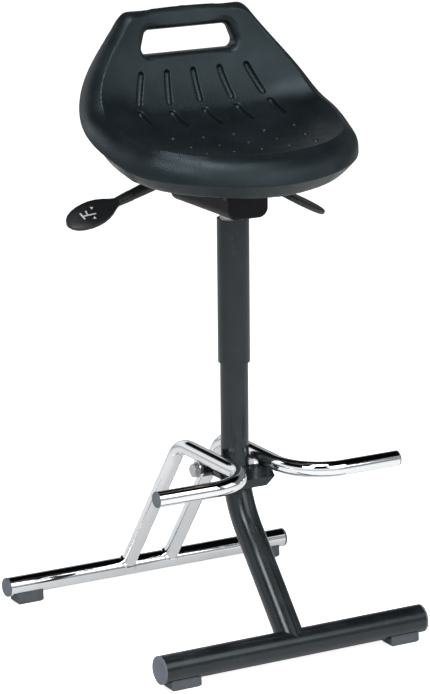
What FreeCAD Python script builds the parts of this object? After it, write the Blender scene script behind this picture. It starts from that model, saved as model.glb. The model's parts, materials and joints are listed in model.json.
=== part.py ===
import FreeCAD, Part
import functools
import math
import os
import re
import Sketcher
from FreeCAD import Vector

# Perch stool with a folding foot frame, a gas spring column and a tilting moulded seat.
# Millimetres, +X to the right as seen from the front, +Y to the back, +Z up.
# Everything is built round the axis of the upright post. At the end the origin
# moves along Y, to the floor under the middle of the feet.

SIZES = {
    # post, leg and front foot
    "post_diameter": 42.4,
    "post_wall": 2.0,
    "post_top": 560.0,
    "bend_start": 280.0,
    "bend_radius": 158.0,
    "leg_lean": 42.2,
    "weld_size": 4.0,
    "front_bar_diameter": 42.4,
    "front_bar_wall": 2.0,
    "front_bar_length": 443.0,
    "front_cap_rim": 3.0,
    "front_cap_dome": 3.5,
    "cap_plug_length": 15.0,
    "cap_plug_gap": 0.1,
    "front_pad_height": 10.0,
    "front_pad_length": 48.0,
    "front_pad_depth": 32.0,
    "front_pad_inset": 34.5,
    "pad_wrap": 6.0,
    "pad_chamfer": 3.0,
    "pad_screw_diameter": 4.0,
    "pad_screw_head": 8.0,
    "pad_screw_recess": 2.0,
    "pad_screw_length": 20.0,
    # stop bracket on the front of the post
    "stop_half_length": 44.0,
    "stop_end_slant": 14.0,
    "stop_front": 44.0,
    "stop_back": 12.0,
    "stop_height": 26.0,
    "stop_face_height": 12.5,
    "stop_roof_run": 13.0,
    "stop_plate": 4.0,
    # fold pivot behind the post
    "pivot_back": 45.0,
    "pivot_washer_gap": 2.0,
    "pivot_bolt_diameter": 12.0,
    "pivot_bolt_gap": 0.05,
    "pivot_bush_wall": 2.0,
    "pivot_bush_length": 20.0,
    "pivot_flange": 1.4,
    "pivot_flange_diameter": 22.0,
    "lug_tube_wall": 4.0,
    "lug_cheek": 6.0,
    "lug_cheek_centre": 15.0,
    "lug_cheek_height": 20.0,
    "side_gap": 0.1,
    # rear foot bar and bent chrome tubes
    "rear_bar_diameter": 30.0,
    "rear_bar_wall": 2.0,
    "rear_bar_length": 494.0,
    "rear_bar_back": 287.0,
    "rear_cap_thickness": 4.0,
    "rear_pad_height": 13.0,
    "rear_pad_length": 44.0,
    "rear_pad_depth": 28.0,
    "rear_pad_inset": 33.0,
    "footrest_diameter": 24.0,
    "footrest_wall": 2.0,
    "footrest_height": 276.0,
    "footrest_reach": 132.0,
    "footrest_half_span": 203.5,
    "footrest_cap_thickness": 2.5,
    "frame_gap": 4.3,
    "front_bend_radius": 72.0,
    "rear_bend_radius": 60.0,
    "riser_top_back": 102.0,
    "frame_weld": 3.0,
    "ear_thickness": 5.0,
    "ear_radius": 12.0,
    "bolt_head_flats": 19.0,
    "bolt_head_height": 7.5,
    "washer_diameter": 24.0,
    "washer_thickness": 1.5,
    "nut_height": 12.0,
    "thread_end": 2.0,
    # gas spring
    "support_lift": 16.0,
    "support_thickness": 6.0,
    "bearing_height": 6.0,
    "bearing_diameter": 26.0,
    "rod_diameter": 10.0,
    "rod_foot_diameter": 8.0,
    "rod_foot_length": 6.0,
    "rod_washer_thickness": 2.0,
    "rod_washer_diameter": 22.0,
    "clip_thickness": 1.4,
    "clip_diameter": 14.0,
    "clip_groove": 0.5,
    "piston_height": 12.0,
    "piston_place": 556.0,
    "cylinder_diameter": 28.0,
    "cylinder_bore": 22.0,
    "cylinder_length": 242.0,
    "cylinder_head": 34.0,
    "rod_guide": 20.0,
    "taper_height": 34.0,
    "taper_drop": 0.9,
    "running_gap": 0.05,
    # column
    "sleeve_wall": 1.6,
    "sleeve_length": 219.0,
    "guide_wall": 1.35,
    "guide_height": 20.0,
    "guide_flange": 2.0,
    "guide_gap": 1.5,
    "collar_height": 6.0,
    "collar_depth": 8.0,
    "collar_neck_diameter": 40.0,
    # mechanism housing
    "tub_width": 67.0,
    "tub_front": 48.0,
    "tub_back": 133.0,
    "tub_bottom": 650.0,
    "tub_height": 48.0,
    "tub_back_drop": 10.0,
    "tub_wall": 3.0,
    "tub_edge_radius": 15.0,
    "socket_diameter": 38.0,
    "socket_height": 31.0,
    "tilt_pin_diameter": 10.0,
    "tilt_pin_inset": 14.0,
    "tilt_pin_rise": 34.0,
    "clamp_diameter": 8.0,
    "clamp_inset": 21.0,
    "clamp_rise": 36.0,
    "clamp_head_diameter": 17.0,
    "clamp_head_height": 6.0,
    "tilt_forward": 5.0,
    "tilt_backward": 1.5,
    # height lever
    "button_diameter": 8.0,
    "button_length": 22.0,
    "button_standing": 5.0,
    "lever_rod_diameter": 8.0,
    "lever_rod_side": 20.0,
    "lever_inset": 43.0,
    "lever_notch_gap": 2.0,
    "finger_thickness": 4.0,
    "finger_width": 12.0,
    "lever_post_width": 14.0,
    "lever_post_thickness": 6.0,
    "lever_post_front": 32.0,
    "lever_post_rear": 68.0,
    # lever handles
    "handle_start": 60.0,
    "handle_wall_gap": 3.0,
    "handle_hub_diameter": 15.0,
    "knuckle_diameter": 17.0,
    "stem_width": 16.0,
    "stem_length": 85.0,
    "neck_width": 17.0,
    "neck_thickness": 11.0,
    "paddle_length": 83.0,
    "paddle_width": 50.0,
    "paddle_thickness": 10.0,
    "paddle_edge": 3.5,
    "tilt_handle_droop": 18.0,
    "tilt_handle_turn": 30.0,
    "height_handle_droop": 27.0,
    # seat plate and insert
    "plate_lift": 4.0,
    "plate_thickness": 3.0,
    "plate_half_width": 82.0,
    "plate_front_inset": 6.0,
    "plate_back_inset": 7.0,
    "plate_corner": 15.0,
    "ear_gap": 1.3,
    "ear_margin": 5.0,
    "seat_ear_thickness": 3.0,
    "front_ear_width": 20.0,
    "front_ear_shift": 1.0,
    "rear_ear_width": 24.0,
    "insert_half_width": 100.0,
    "insert_front": 75.0,
    "insert_back": 85.0,
    "insert_thickness": 9.0,
    "seat_screw_diameter": 6.0,
    "seat_screw_head": 12.0,
    "seat_screw_head_height": 3.5,
    "seat_screw_side": 62.0,
    "seat_screw_front": 15.0,
    "seat_screw_back": 50.0,
    # moulded seat
    "seat_half_width": 208.0,
    "seat_front": 157.0,
    "seat_back": 150.0,
    "seat_rise": 235.0,
    "groove_radius": 3.0,
    "hole_top_margin": 25.0,
    "hole_height": 47.0,
    "hole_half_top": 76.0,
    "hole_half_bottom": 84.0,
    "hole_corner": 12.0,
}

doc = FreeCAD.newDocument("perch_stool")
sheet = doc.addObject("Spreadsheet::Sheet", "sizes")
for row, (alias, number) in enumerate(SIZES.items(), start=1):
    sheet.set(f"A{row}", alias)
    sheet.set(f"B{row}", str(number))
    sheet.setAlias(f"B{row}", alias)
doc.recompute()

# Sizes and heights that follow from those in the sheet
WORKED_OUT = {
    "post_inner": "post_diameter - 2 * post_wall",
    "front_bar_height": "front_pad_height + front_bar_diameter / 2",
    "rear_bar_height": "rear_pad_height + rear_bar_diameter / 2",
    "front_pad_centre": "front_bar_length / 2 - front_pad_inset",
    "rear_pad_centre": "rear_bar_length / 2 - rear_pad_inset",
    "frame_half_width": "post_diameter / 2 + frame_gap + footrest_diameter / 2",
    "footrest_bottom": "footrest_height - footrest_diameter / 2",
    "stop_bottom": "footrest_bottom - stop_height",
    "pivot_height": "footrest_bottom - pivot_washer_gap - washer_diameter / 2",
    "bush_outer": "pivot_bolt_diameter + 2 * pivot_bolt_gap + 2 * pivot_bush_wall",
    "bolt_seat": "frame_half_width + ear_thickness / 2 + washer_thickness",
    "lug_half_length": "frame_half_width - ear_thickness / 2 - side_gap - pivot_flange",
    "support_height": "bend_start + support_lift",
    "rod_shoulder": "support_height + support_thickness + bearing_height + rod_washer_thickness",
    "sleeve_inner": "post_diameter + 2 * guide_wall",
    "sleeve_diameter": "sleeve_inner + 2 * sleeve_wall",
    "sleeve_top": "tub_bottom - collar_height",
    "sleeve_bottom": "sleeve_top - sleeve_length",
    "guide_bore": "cylinder_diameter + 2 * guide_gap",
    "piston_diameter": "cylinder_bore - 2 * running_gap",
    "cylinder_top": "tub_bottom + taper_height",
    "cylinder_bottom": "cylinder_top - cylinder_length",
    "cylinder_cavity_top": "cylinder_top - cylinder_head",
    "button_top": "cylinder_top + button_standing",
    "tub_top": "tub_bottom + tub_height",
    "socket_top": "tub_bottom + socket_height",
    "tilt_pin_front": "tub_front - tilt_pin_inset",
    "tilt_pin_height": "tub_bottom + tilt_pin_rise",
    "clamp_back": "tub_back - clamp_inset",
    "clamp_height": "tub_bottom + clamp_rise",
    "lever_back": "tub_back - lever_inset",
    "lever_height": "button_top + finger_thickness - lever_rod_diameter / 2",
    "plate_bottom": "tub_top + plate_lift",
    "plate_front": "tub_front - plate_front_inset",
    "plate_back": "tub_back - plate_back_inset",
    "seat_underside": "plate_bottom + plate_thickness",
    "hole_top": "seat_underside + seat_rise - hole_top_margin",
    "hole_bottom": "hole_top - hole_height",
}

nodes = []


def bound(text):
    """An expression in size names, as one that the document can evaluate."""
    def whole(word):
        name = word.group(0)
        if name in WORKED_OUT:
            return "(" + bound(WORKED_OUT[name]) + ")"
        return "sizes." + name if name in SIZES else name
    return re.sub(r"[a-z][a-z0-9_]*", whole, text)


@functools.lru_cache(None)
def value(text):
    """The number that an expression in size names stands for."""
    return float(sheet.evalExpression(bound(text)))


def keep(item, label):
    """Give a finished piece its own label and list it as a node."""
    item.Label = label
    nodes.append(item)
    return item


# Small parametric helpers
def new_body(label):
    """An empty body that becomes one piece."""
    return keep(doc.addObject("PartDesign::Body", label), label)


def place(item, x="0", y="0", z="0"):
    """Bind an object's place to the sheet."""
    for axis, text in (("x", x), ("y", y), ("z", z)):
        if text != "0":
            item.setExpression("Placement.Base." + axis, bound(text))


def pin_point(sketch, index, corner, x, y):
    """Hold one sketch point at coordinates written in size names."""
    for kind, text, axis in (("DistanceX", x, -2), ("DistanceY", y, -1)):
        if text == "0":
            sketch.addConstraint(Sketcher.Constraint("PointOnObject", index, corner, axis))
        else:
            number = sketch.addConstraint(Sketcher.Constraint(kind, -1, 1, index, corner, value(text)))
            sketch.setExpression(f"Constraints[{number}]", bound(text))


def sketch_on(body, name, role, outline=(), circles=()):
    """A sketch on one of the body's origin planes: one closed outline, or circles (x, y, diameter)."""
    sketch = body.newObject("Sketcher::SketchObject", name)
    plane = next(item for item in body.Origin.OriginFeatures if item.Role == role)
    sketch.AttachmentSupport = [(plane, "")]
    sketch.MapMode = "FlatFace"
    corners = [Vector(value(x), value(y), 0) for x, y in outline]
    for number, start in enumerate(corners):
        end = corners[(number + 1) % len(corners)]
        sketch.addGeometry(Part.LineSegment(start, end), False)
    for number in range(len(corners)):
        following = (number + 1) % len(corners)
        sketch.addConstraint(Sketcher.Constraint("Coincident", number, 2, following, 1))
        pin_point(sketch, number, 1, *outline[number])
    for x, y, diameter in circles:
        centre = Vector(value(x), value(y), 0)
        index = sketch.addGeometry(Part.Circle(centre, Vector(0, 0, 1), value(diameter) / 2), False)
        pin_point(sketch, index, 3, x, y)
        number = sketch.addConstraint(Sketcher.Constraint("Diameter", index, value(diameter)))
        sketch.setExpression(f"Constraints[{number}]", bound(diameter))
    return sketch


def pad(body, name, sketch, length, both_ways=False, backwards=False):
    """Raise a sketch by a length."""
    feature = body.newObject("PartDesign::Pad", name)
    feature.Profile = sketch
    feature.setExpression("Length", bound(length))
    feature.Midplane = both_ways
    feature.Reversed = backwards
    return feature


def pocket_through(body, name, sketch):
    """Cut a sketch through everything, both ways."""
    feature = body.newObject("PartDesign::Pocket", name)
    feature.Profile = sketch
    feature.Type = "ThroughAll"
    feature.Midplane = True
    return feature


def turned(label, outline, along="Z", **where):
    """A turned piece from an outline of (radius, height) along Z, or (length, radius) along X."""
    body = new_body(label)
    role, axis = ("XZ_Plane", "V_Axis") if along == "Z" else ("XY_Plane", "H_Axis")
    feature = body.newObject("PartDesign::Revolution", label + "_turn")
    sketch = sketch_on(body, label + "_outline", role, outline)
    feature.Profile = sketch
    feature.ReferenceAxis = (sketch, [axis])
    feature.Angle = 360
    body.Tip = feature
    place(body, **where)
    return body


def ring(label, outer, inner, length, role="XY_Plane", **where):
    """A plain tube or ring standing on an origin plane."""
    body = new_body(label)
    sketch = sketch_on(body, label + "_rings", role, circles=[("0", "0", outer), ("0", "0", inner)])
    pad(body, label + "_length", sketch, length)
    place(body, **where)
    return body


def both_sides(master, label):
    """A piece and its mirror image across the middle plane, kept as one node."""
    nodes.remove(master)
    master.Label = label + "_one"
    twin = doc.addObject("Part::Mirroring", label + "_other")
    twin.Source = master
    twin.Normal = (1, 0, 0)
    group = doc.addObject("Part::Compound", label)
    group.Links = [master, twin]
    return keep(group, label)


def shaped(label, shape):
    """A piece whose outline needs more than sketches and primitives."""
    item = doc.addObject("Part::Feature", label)
    item.Shape = shape
    return keep(item, label)


# Shape helpers
def route(points, radii):
    """Straight runs through the points, joined by tangent arcs."""
    edges = []
    start = points[0]
    for before, corner, after, radius in zip(points, points[1:], points[2:], radii):
        back = (before - corner).normalize()
        ahead = (after - corner).normalize()
        half = back.getAngle(ahead) / 2
        reach = radius / math.tan(half)
        middle = (back + ahead).normalize()
        crown = corner + middle * (radius / math.sin(half) - radius)
        leave = corner + back * reach
        join = corner + ahead * reach
        edges.append(Part.LineSegment(start, leave).toShape())
        edges.append(Part.Arc(leave, crown, join).toShape())
        start = join
    edges.append(Part.LineSegment(start, points[-1]).toShape())
    return Part.Wire(edges)


def swept_rod(path, radius):
    """A round rod along a path."""
    first = path.Edges[0]
    start = first.valueAt(first.FirstParameter)
    along = first.tangentAt(first.FirstParameter)
    profile = Part.Wire(Part.Circle(start, along, radius).toShape())
    return path.makePipeShell([profile], True, False)


def long_rod(centre, axis, radius, half_length):
    """A round rod centred on a point."""
    return Part.makeCylinder(radius, 2 * half_length, centre - axis * half_length, axis)


def weld_ring(foot, along, tube_radius, bar_axis, bar_radius, bead):
    """The bead in the corner between a tube and the bar that it stands on."""
    reach = 4 * (tube_radius + bar_radius)
    near_tube = Part.makeCylinder(tube_radius + bead, reach, foot, along)
    near_bar = long_rod(foot, bar_axis, bar_radius + bead, reach)
    bar = long_rod(foot, bar_axis, bar_radius, reach)
    tube = Part.makeCylinder(tube_radius, reach, foot, along)
    return near_tube.common(near_bar).cut(bar).cut(tube)


X_AXIS = Vector(1, 0, 0)
Y_AXIS = Vector(0, 1, 0)
Z_AXIS = Vector(0, 0, 1)
WIDE = 1000.0

# Places worked out from the sizes
lean = math.radians(value("leg_lean"))
arc_drop = value("bend_radius") * math.sin(lean)
arc_forward = value("bend_radius") * (1 - math.cos(lean))
leg_drop = value("bend_start") - arc_drop - value("front_bar_height")
front_bar_place = Vector(0, -arc_forward - leg_drop * math.tan(lean), value("front_bar_height"))
corner_height = value("bend_start") - value("bend_radius") * math.tan(lean / 2)
rear_bar_place = Vector(0, value("rear_bar_back"), value("rear_bar_height"))
pivot_place = Vector(0, value("pivot_back"), value("pivot_height"))


# Post and leg
def post_path():
    """The centre line of the post and leg, from the top down to the foot bar."""
    points = [Vector(0, 0, value("post_top")), Vector(0, 0, corner_height), front_bar_place]
    return route(points, [value("bend_radius")])


post_outside = swept_rod(post_path(), value("post_diameter / 2"))
front_bar_outside = long_rod(front_bar_place, X_AXIS, value("front_bar_diameter / 2"), WIDE / 2)
leg_up = Vector(0, math.sin(lean), math.cos(lean))


def make_post_leg():
    """One bent tube, coped onto the foot bar, with its weld bead."""
    bore = swept_rod(post_path(), value("post_diameter / 2 - post_wall"))
    bead = weld_ring(front_bar_place, leg_up, value("post_diameter / 2"), X_AXIS,
                     value("front_bar_diameter / 2"), value("weld_size"))
    tube = post_outside.fuse(bead).cut(bore).cut(front_bar_outside)
    shaped("post_leg_tube", tube)


# Foot bars, caps and pads
def make_foot_bar(label, diameter, wall, length, y, z):
    """A straight foot tube across the stool."""
    ring(label, diameter, f"{diameter} - 2 * {wall}", length, "YZ_Plane",
         x=f"-{length} / 2", y=y, z=z)


def make_front_caps():
    """Domed plugs in the ends of the front foot bar."""
    plug = "(front_bar_diameter / 2 - front_bar_wall - cap_plug_gap)"
    rim = "front_bar_diameter / 2"
    outline = [("-cap_plug_length", "0"), ("-cap_plug_length", plug), ("0", plug), ("0", rim),
               ("front_cap_rim", rim), ("front_cap_rim + front_cap_dome * 0.65", rim + " * 0.8"),
               ("front_cap_rim + front_cap_dome * 0.93", rim + " * 0.45"),
               ("front_cap_rim + front_cap_dome", "0")]
    cap = turned("front_bar_cap", outline, "X", x="front_bar_length / 2", z="front_bar_height")
    cap.Placement.Base.y = front_bar_place.y
    both_sides(cap, "front_bar_caps")


def make_flat_caps(label, tube_diameter, wall, thickness, x, y, z):
    """Flat plugs in the ends of a chrome tube."""
    plug = f"({tube_diameter} / 2 - {wall} - cap_plug_gap)"
    rim = f"{tube_diameter} / 2"
    outline = [("-cap_plug_length", "0"), ("-cap_plug_length", plug), ("0", plug), ("0", rim),
               (f"{thickness} * 0.6", rim), (thickness, rim + " - 1"), (thickness, "0")]
    both_sides(turned(label + "_plug", outline, "X", x=x, y=y, z=z), label)


def make_pads(name, bar, bar_place, centre):
    """Floor pads under a bar, each with its screw."""
    length = value(f"{name}_pad_length")
    depth = value(f"{name}_pad_depth")
    top = value(f"{name}_pad_height + pad_wrap")
    slant = value("pad_chamfer")
    x = value(centre)
    y = bar_place.y
    flank = Part.makePolygon([Vector(x - length / 2, y - depth / 2 + slant, 0),
                              Vector(x - length / 2, y + depth / 2 - slant, 0),
                              Vector(x - length / 2, y + depth / 2, slant),
                              Vector(x - length / 2, y + depth / 2 - slant / 3, top),
                              Vector(x - length / 2, y - depth / 2 + slant / 3, top),
                              Vector(x - length / 2, y - depth / 2, slant),
                              Vector(x - length / 2, y - depth / 2 + slant, 0)])
    block = Part.Face(flank).extrude(Vector(length, 0, 0))
    ends = [edge for edge in block.Edges if abs(edge.CenterOfMass.z) < slant / 2
            and abs(edge.CenterOfMass.y - y) < slant / 2]
    block = block.makeChamfer(slant, ends)
    screw_radius = value("pad_screw_diameter / 2")
    head_radius = value("pad_screw_head / 2")
    head_bottom = value("pad_screw_recess")
    cone = head_radius - screw_radius
    screw = Part.makeCone(head_radius, screw_radius, cone, Vector(x, y, head_bottom), Z_AXIS)
    shank = Part.makeCylinder(screw_radius, value("pad_screw_length"), Vector(x, y, head_bottom), Z_AXIS)
    screw = screw.fuse(shank).removeSplitter()
    well = Part.makeCylinder(head_radius, head_bottom, Vector(x, y, 0), Z_AXIS)
    solid_bar = long_rod(bar_place, X_AXIS, value(f"{bar}_diameter / 2"), WIDE / 2)
    block = block.cut(solid_bar).cut(screw).cut(well)
    for label, one in ((f"{name}_floor_pads", block), (f"{name}_pad_screws", screw)):
        other = one.mirror(Vector(0, 0, 0), X_AXIS)
        shaped(label, Part.makeCompound([one, other]))
    return screw


def drill_for_screws(bar_label, screw):
    """Open the bar's underside where the pad screws enter."""
    bar = next(item for item in nodes if item.Label == bar_label)
    hole = doc.addObject("Part::Feature", bar_label + "_screw_space")
    hole.Shape = Part.makeCompound([screw, screw.mirror(Vector(0, 0, 0), X_AXIS)])
    drilled = doc.addObject("Part::Cut", bar_label + "_drilled")
    drilled.Base = bar
    drilled.Tool = hole
    nodes.remove(bar)
    bar.Label = bar_label + "_tube"
    keep(drilled, bar_label)


# Stop bracket and pivot lug on the post
def make_stop_bracket():
    """A folded plate across the front of the post, open below, with slanted ends."""
    front = -value("stop_front")
    back = -value("stop_back")
    bottom = value("stop_bottom")
    face_top = bottom + value("stop_face_height")
    roof = value("footrest_bottom")
    ridge = front + value("stop_roof_run")
    half = value("stop_half_length")
    plate = value("stop_plate")
    section = [(front, bottom), (front, face_top), (ridge, roof), (back, roof), (back, roof - plate),
               (ridge + plate / 2, roof - plate), (front + plate, face_top - plate / 2),
               (front + plate, bottom)]
    corners = [Vector(-half, y, z) for y, z in section]
    strip = Part.Face(Part.makePolygon(corners + corners[:1])).extrude(Vector(2 * half, 0, 0))
    slant = value("stop_end_slant")
    ends = [(-half, roof), (half, roof), (half, face_top), (half - slant, bottom), (slant - half, bottom),
            (-half, face_top)]
    view = [Vector(x, front - plate, z) for x, z in ends]
    trim = Part.Face(Part.makePolygon(view + view[:1])).extrude(Vector(0, 3 * value("stop_front"), 0))
    shaped("stop_bracket", strip.common(trim).cut(post_outside))


def make_pivot_lug():
    """The bush tube welded behind the post between two cheeks."""
    half = value("lug_half_length")
    inner = value("bush_outer / 2")
    outer = inner + value("lug_tube_wall")
    tube = long_rod(pivot_place, X_AXIS, outer, half)
    cheek = value("lug_cheek")
    height = value("lug_cheek_height")
    lug = tube
    for side in (-1, 1):
        corner = Vector(side * value("lug_cheek_centre") - cheek / 2, 0, pivot_place.z - height / 2)
        lug = lug.fuse(Part.makeBox(cheek, pivot_place.y, height, corner))
    lug = lug.cut(post_outside).cut(long_rod(pivot_place, X_AXIS, inner, WIDE / 2))
    behind = [solid for solid in lug.Solids if solid.CenterOfMass.y > 0]
    shaped("pivot_lug", behind[0])


def make_pivot_bushes():
    """Flanged plastic bushes pressed into both ends of the lug."""
    bore = "(pivot_bolt_diameter / 2 + pivot_bolt_gap)"
    outer = "bush_outer / 2"
    outline = [("-pivot_bush_length", bore), ("-pivot_bush_length", outer), ("0", outer),
               ("0", "pivot_flange_diameter / 2"), ("pivot_flange", "pivot_flange_diameter / 2"),
               ("pivot_flange", bore)]
    bush = turned("pivot_bush", outline, "X", x="lug_half_length", y="pivot_back", z="pivot_height")
    both_sides(bush, "pivot_bushes")


# Folding chrome frame
def frame_path(side):
    """The centre line of one bent tube: riser, run beside the post, footrest."""
    x = side * value("frame_half_width")
    height = value("footrest_height")
    reach = -value("footrest_reach")
    points = [Vector(x, rear_bar_place.y, rear_bar_place.z), Vector(x, value("riser_top_back"), height),
              Vector(x, reach, height), Vector(side * value("footrest_half_span"), reach, height)]
    return route(points, [value("rear_bend_radius"), value("front_bend_radius")])


def make_frame_tube(label, side):
    """One bent chrome tube, coped onto the rear bar, with its weld bead."""
    path = frame_path(side)
    radius = value("footrest_diameter / 2")
    bar_radius = value("rear_bar_diameter / 2")
    outside = swept_rod(path, radius)
    bore = swept_rod(path, radius - value("footrest_wall"))
    first = path.Edges[0]
    foot = first.valueAt(first.FirstParameter)
    bead = weld_ring(foot, first.tangentAt(first.FirstParameter), radius, X_AXIS, bar_radius,
                     value("frame_weld"))
    rear_bar = long_rod(rear_bar_place, X_AXIS, bar_radius, WIDE / 2)
    shaped(label, outside.fuse(bead).cut(bore).cut(rear_bar))


def make_frame_ear(label, side):
    """An ear under one bent tube, holding the pivot bolt."""
    body = new_body(label)
    front = "pivot_back - ear_radius"
    back = "pivot_back + ear_radius"
    outline = [(front, "pivot_height"), (back, "pivot_height"),
               (back, "footrest_height"), (front, "footrest_height")]
    web = sketch_on(body, label + "_web", "YZ_Plane", outline)
    pad(body, label + "_web_pad", web, "ear_thickness", both_ways=True)
    round_end = [("pivot_back", "pivot_height", "2 * ear_radius")]
    boss = sketch_on(body, label + "_boss", "YZ_Plane", circles=round_end)
    pad(body, label + "_boss_pad", boss, "ear_thickness", both_ways=True)
    hole = sketch_on(body, label + "_bolt", "YZ_Plane",
                     circles=[("pivot_back", "pivot_height", "pivot_bolt_diameter")])
    pocket_through(body, label + "_bolt_hole", hole)
    above = [("0", "footrest_height", "footrest_diameter")]
    seat = sketch_on(body, label + "_tube", "XZ_Plane", circles=above)
    pocket_through(body, label + "_tube_seat", seat)
    place(body, x=f"{side} * frame_half_width")


def hexagon(flats, thickness, x):
    """A hexagonal block along X, centred on the pivot."""
    radius = flats / math.sqrt(3)
    turns = [math.radians(60 * number + 30) for number in range(7)]
    corners = [pivot_place + Vector(x, radius * math.cos(turn), radius * math.sin(turn)) for turn in turns]
    return Part.Face(Part.makePolygon(corners)).extrude(Vector(thickness, 0, 0))


def make_pivot_bolt():
    """Hexagon bolt across both ears, its washers and lock nut."""
    seat = value("bolt_seat")
    head = value("bolt_head_height")
    radius = value("pivot_bolt_diameter / 2")
    flats = value("bolt_head_flats")
    nut_end = seat + value("nut_height")
    start = pivot_place - X_AXIS * (seat + head / 2)
    shank = Part.makeCylinder(radius, nut_end + value("thread_end") - start.x, start, X_AXIS)
    head_end = pivot_place - X_AXIS * (seat + head)
    round_off = Part.makeCone(flats / 2, flats / 2 + head, head, head_end, X_AXIS)
    shaped("pivot_bolt", hexagon(flats, head, -seat - head).common(round_off).fuse(shank))
    nut = hexagon(flats, value("nut_height"), seat)
    neck = Part.makeCone(flats / 2 + nut_end, flats / 2, nut_end, pivot_place, X_AXIS)
    nut = nut.common(neck).cut(long_rod(pivot_place, X_AXIS, radius, WIDE / 2))
    shaped("pivot_nut", nut)
    washer = ring("pivot_washer", "washer_diameter", "pivot_bolt_diameter", "washer_thickness", "YZ_Plane",
                  x="bolt_seat - washer_thickness", y="pivot_back", z="pivot_height")
    both_sides(washer, "pivot_washers")


# Guides and gas spring
def make_post_guide():
    """The cap on the post's top that runs in the sleeve."""
    run = "(sleeve_inner / 2 - running_gap)"
    outline = [("guide_bore / 2", "-guide_height * 0.6"), ("post_inner / 2", "-guide_height * 0.6"),
               ("post_inner / 2", "0"), ("post_diameter / 2", "0"), ("post_diameter / 2", "-guide_height"),
               (run, "-guide_height"), (run, "guide_flange"), ("guide_bore / 2", "guide_flange")]
    turned("post_top_guide", outline, z="post_top")


def make_spring_support():
    """Support disc in the post, bearing on it, and the rod's washer and clip."""
    hole = "(rod_foot_diameter + 4 * running_gap)"
    ring("spring_support", "post_inner", hole, "support_thickness", z="support_height")
    ring("thrust_bearing", "bearing_diameter", hole, "bearing_height",
         z="support_height + support_thickness")
    ring("rod_washer", "rod_washer_diameter", "rod_foot_diameter", "rod_washer_thickness",
         z="rod_shoulder - rod_washer_thickness")
    ring("rod_clip", "clip_diameter", "rod_foot_diameter - 2 * clip_groove", "clip_thickness",
         z="support_height - clip_thickness - side_gap")


def make_gas_rod():
    """Piston rod with its stepped foot, clip groove and piston."""
    foot = "rod_foot_diameter / 2"
    rod = "rod_diameter / 2"
    groove = "(rod_foot_diameter / 2 - clip_groove)"
    outline = [("0", "support_height - rod_foot_length"), (foot, "support_height - rod_foot_length"),
               (foot, "support_height - clip_thickness - side_gap"),
               (groove, "support_height - clip_thickness - side_gap"),
               (groove, "support_height - side_gap"), (foot, "support_height - side_gap"),
               (foot, "rod_shoulder"), (rod, "rod_shoulder"), (rod, "piston_place"),
               ("piston_diameter / 2", "piston_place"),
               ("piston_diameter / 2", "piston_place + piston_height"),
               ("0", "piston_place + piston_height")]
    turned("gas_spring_rod", outline)


def make_gas_cylinder():
    """Cylinder with rod guide, cavity, tapered head, its socket and the release button."""
    outer = "cylinder_diameter / 2"
    head = "(cylinder_diameter / 2 - taper_drop)"
    bore = "(rod_diameter / 2 + running_gap)"
    button = "(button_diameter / 2 + running_gap)"
    cavity = "cylinder_bore / 2"
    outline = [(bore, "cylinder_bottom"), (outer, "cylinder_bottom"), (outer, "tub_bottom"),
               (head, "cylinder_top"), (button, "cylinder_top"), (button, "cylinder_cavity_top"),
               (cavity, "cylinder_cavity_top - running_gap"), (cavity, "cylinder_bottom + rod_guide"),
               (bore, "cylinder_bottom + rod_guide")]
    turned("gas_spring_cylinder", outline)
    socket_head = "(cylinder_diameter / 2 - taper_drop * socket_height / taper_height)"
    wall = "socket_diameter / 2"
    outline = [(outer, "tub_bottom"), (wall, "tub_bottom"), (wall, "socket_top"), (socket_head, "socket_top")]
    turned("taper_socket", outline)
    outline = [("0", "button_top - button_length"), ("button_diameter / 2", "button_top - button_length"),
               ("button_diameter / 2", "button_top"), ("0", "button_top")]
    turned("release_button", outline)


def make_column():
    """Outer sleeve with its lower guide bush and upper collar."""
    bore = "post_diameter + 2 * running_gap"
    ring("outer_sleeve", "sleeve_diameter", "sleeve_inner", "sleeve_length", z="sleeve_bottom")
    ring("sleeve_guide_bush", "sleeve_inner", bore, "guide_height", z="sleeve_bottom")
    outline = [("cylinder_diameter / 2", "sleeve_top - collar_depth"),
               ("sleeve_inner / 2", "sleeve_top - collar_depth"),
               ("sleeve_inner / 2", "sleeve_top"), ("collar_neck_diameter / 2", "sleeve_top"),
               ("collar_neck_diameter / 2", "tub_bottom"), ("cylinder_diameter / 2", "tub_bottom")]
    turned("sleeve_collar", outline)


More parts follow.
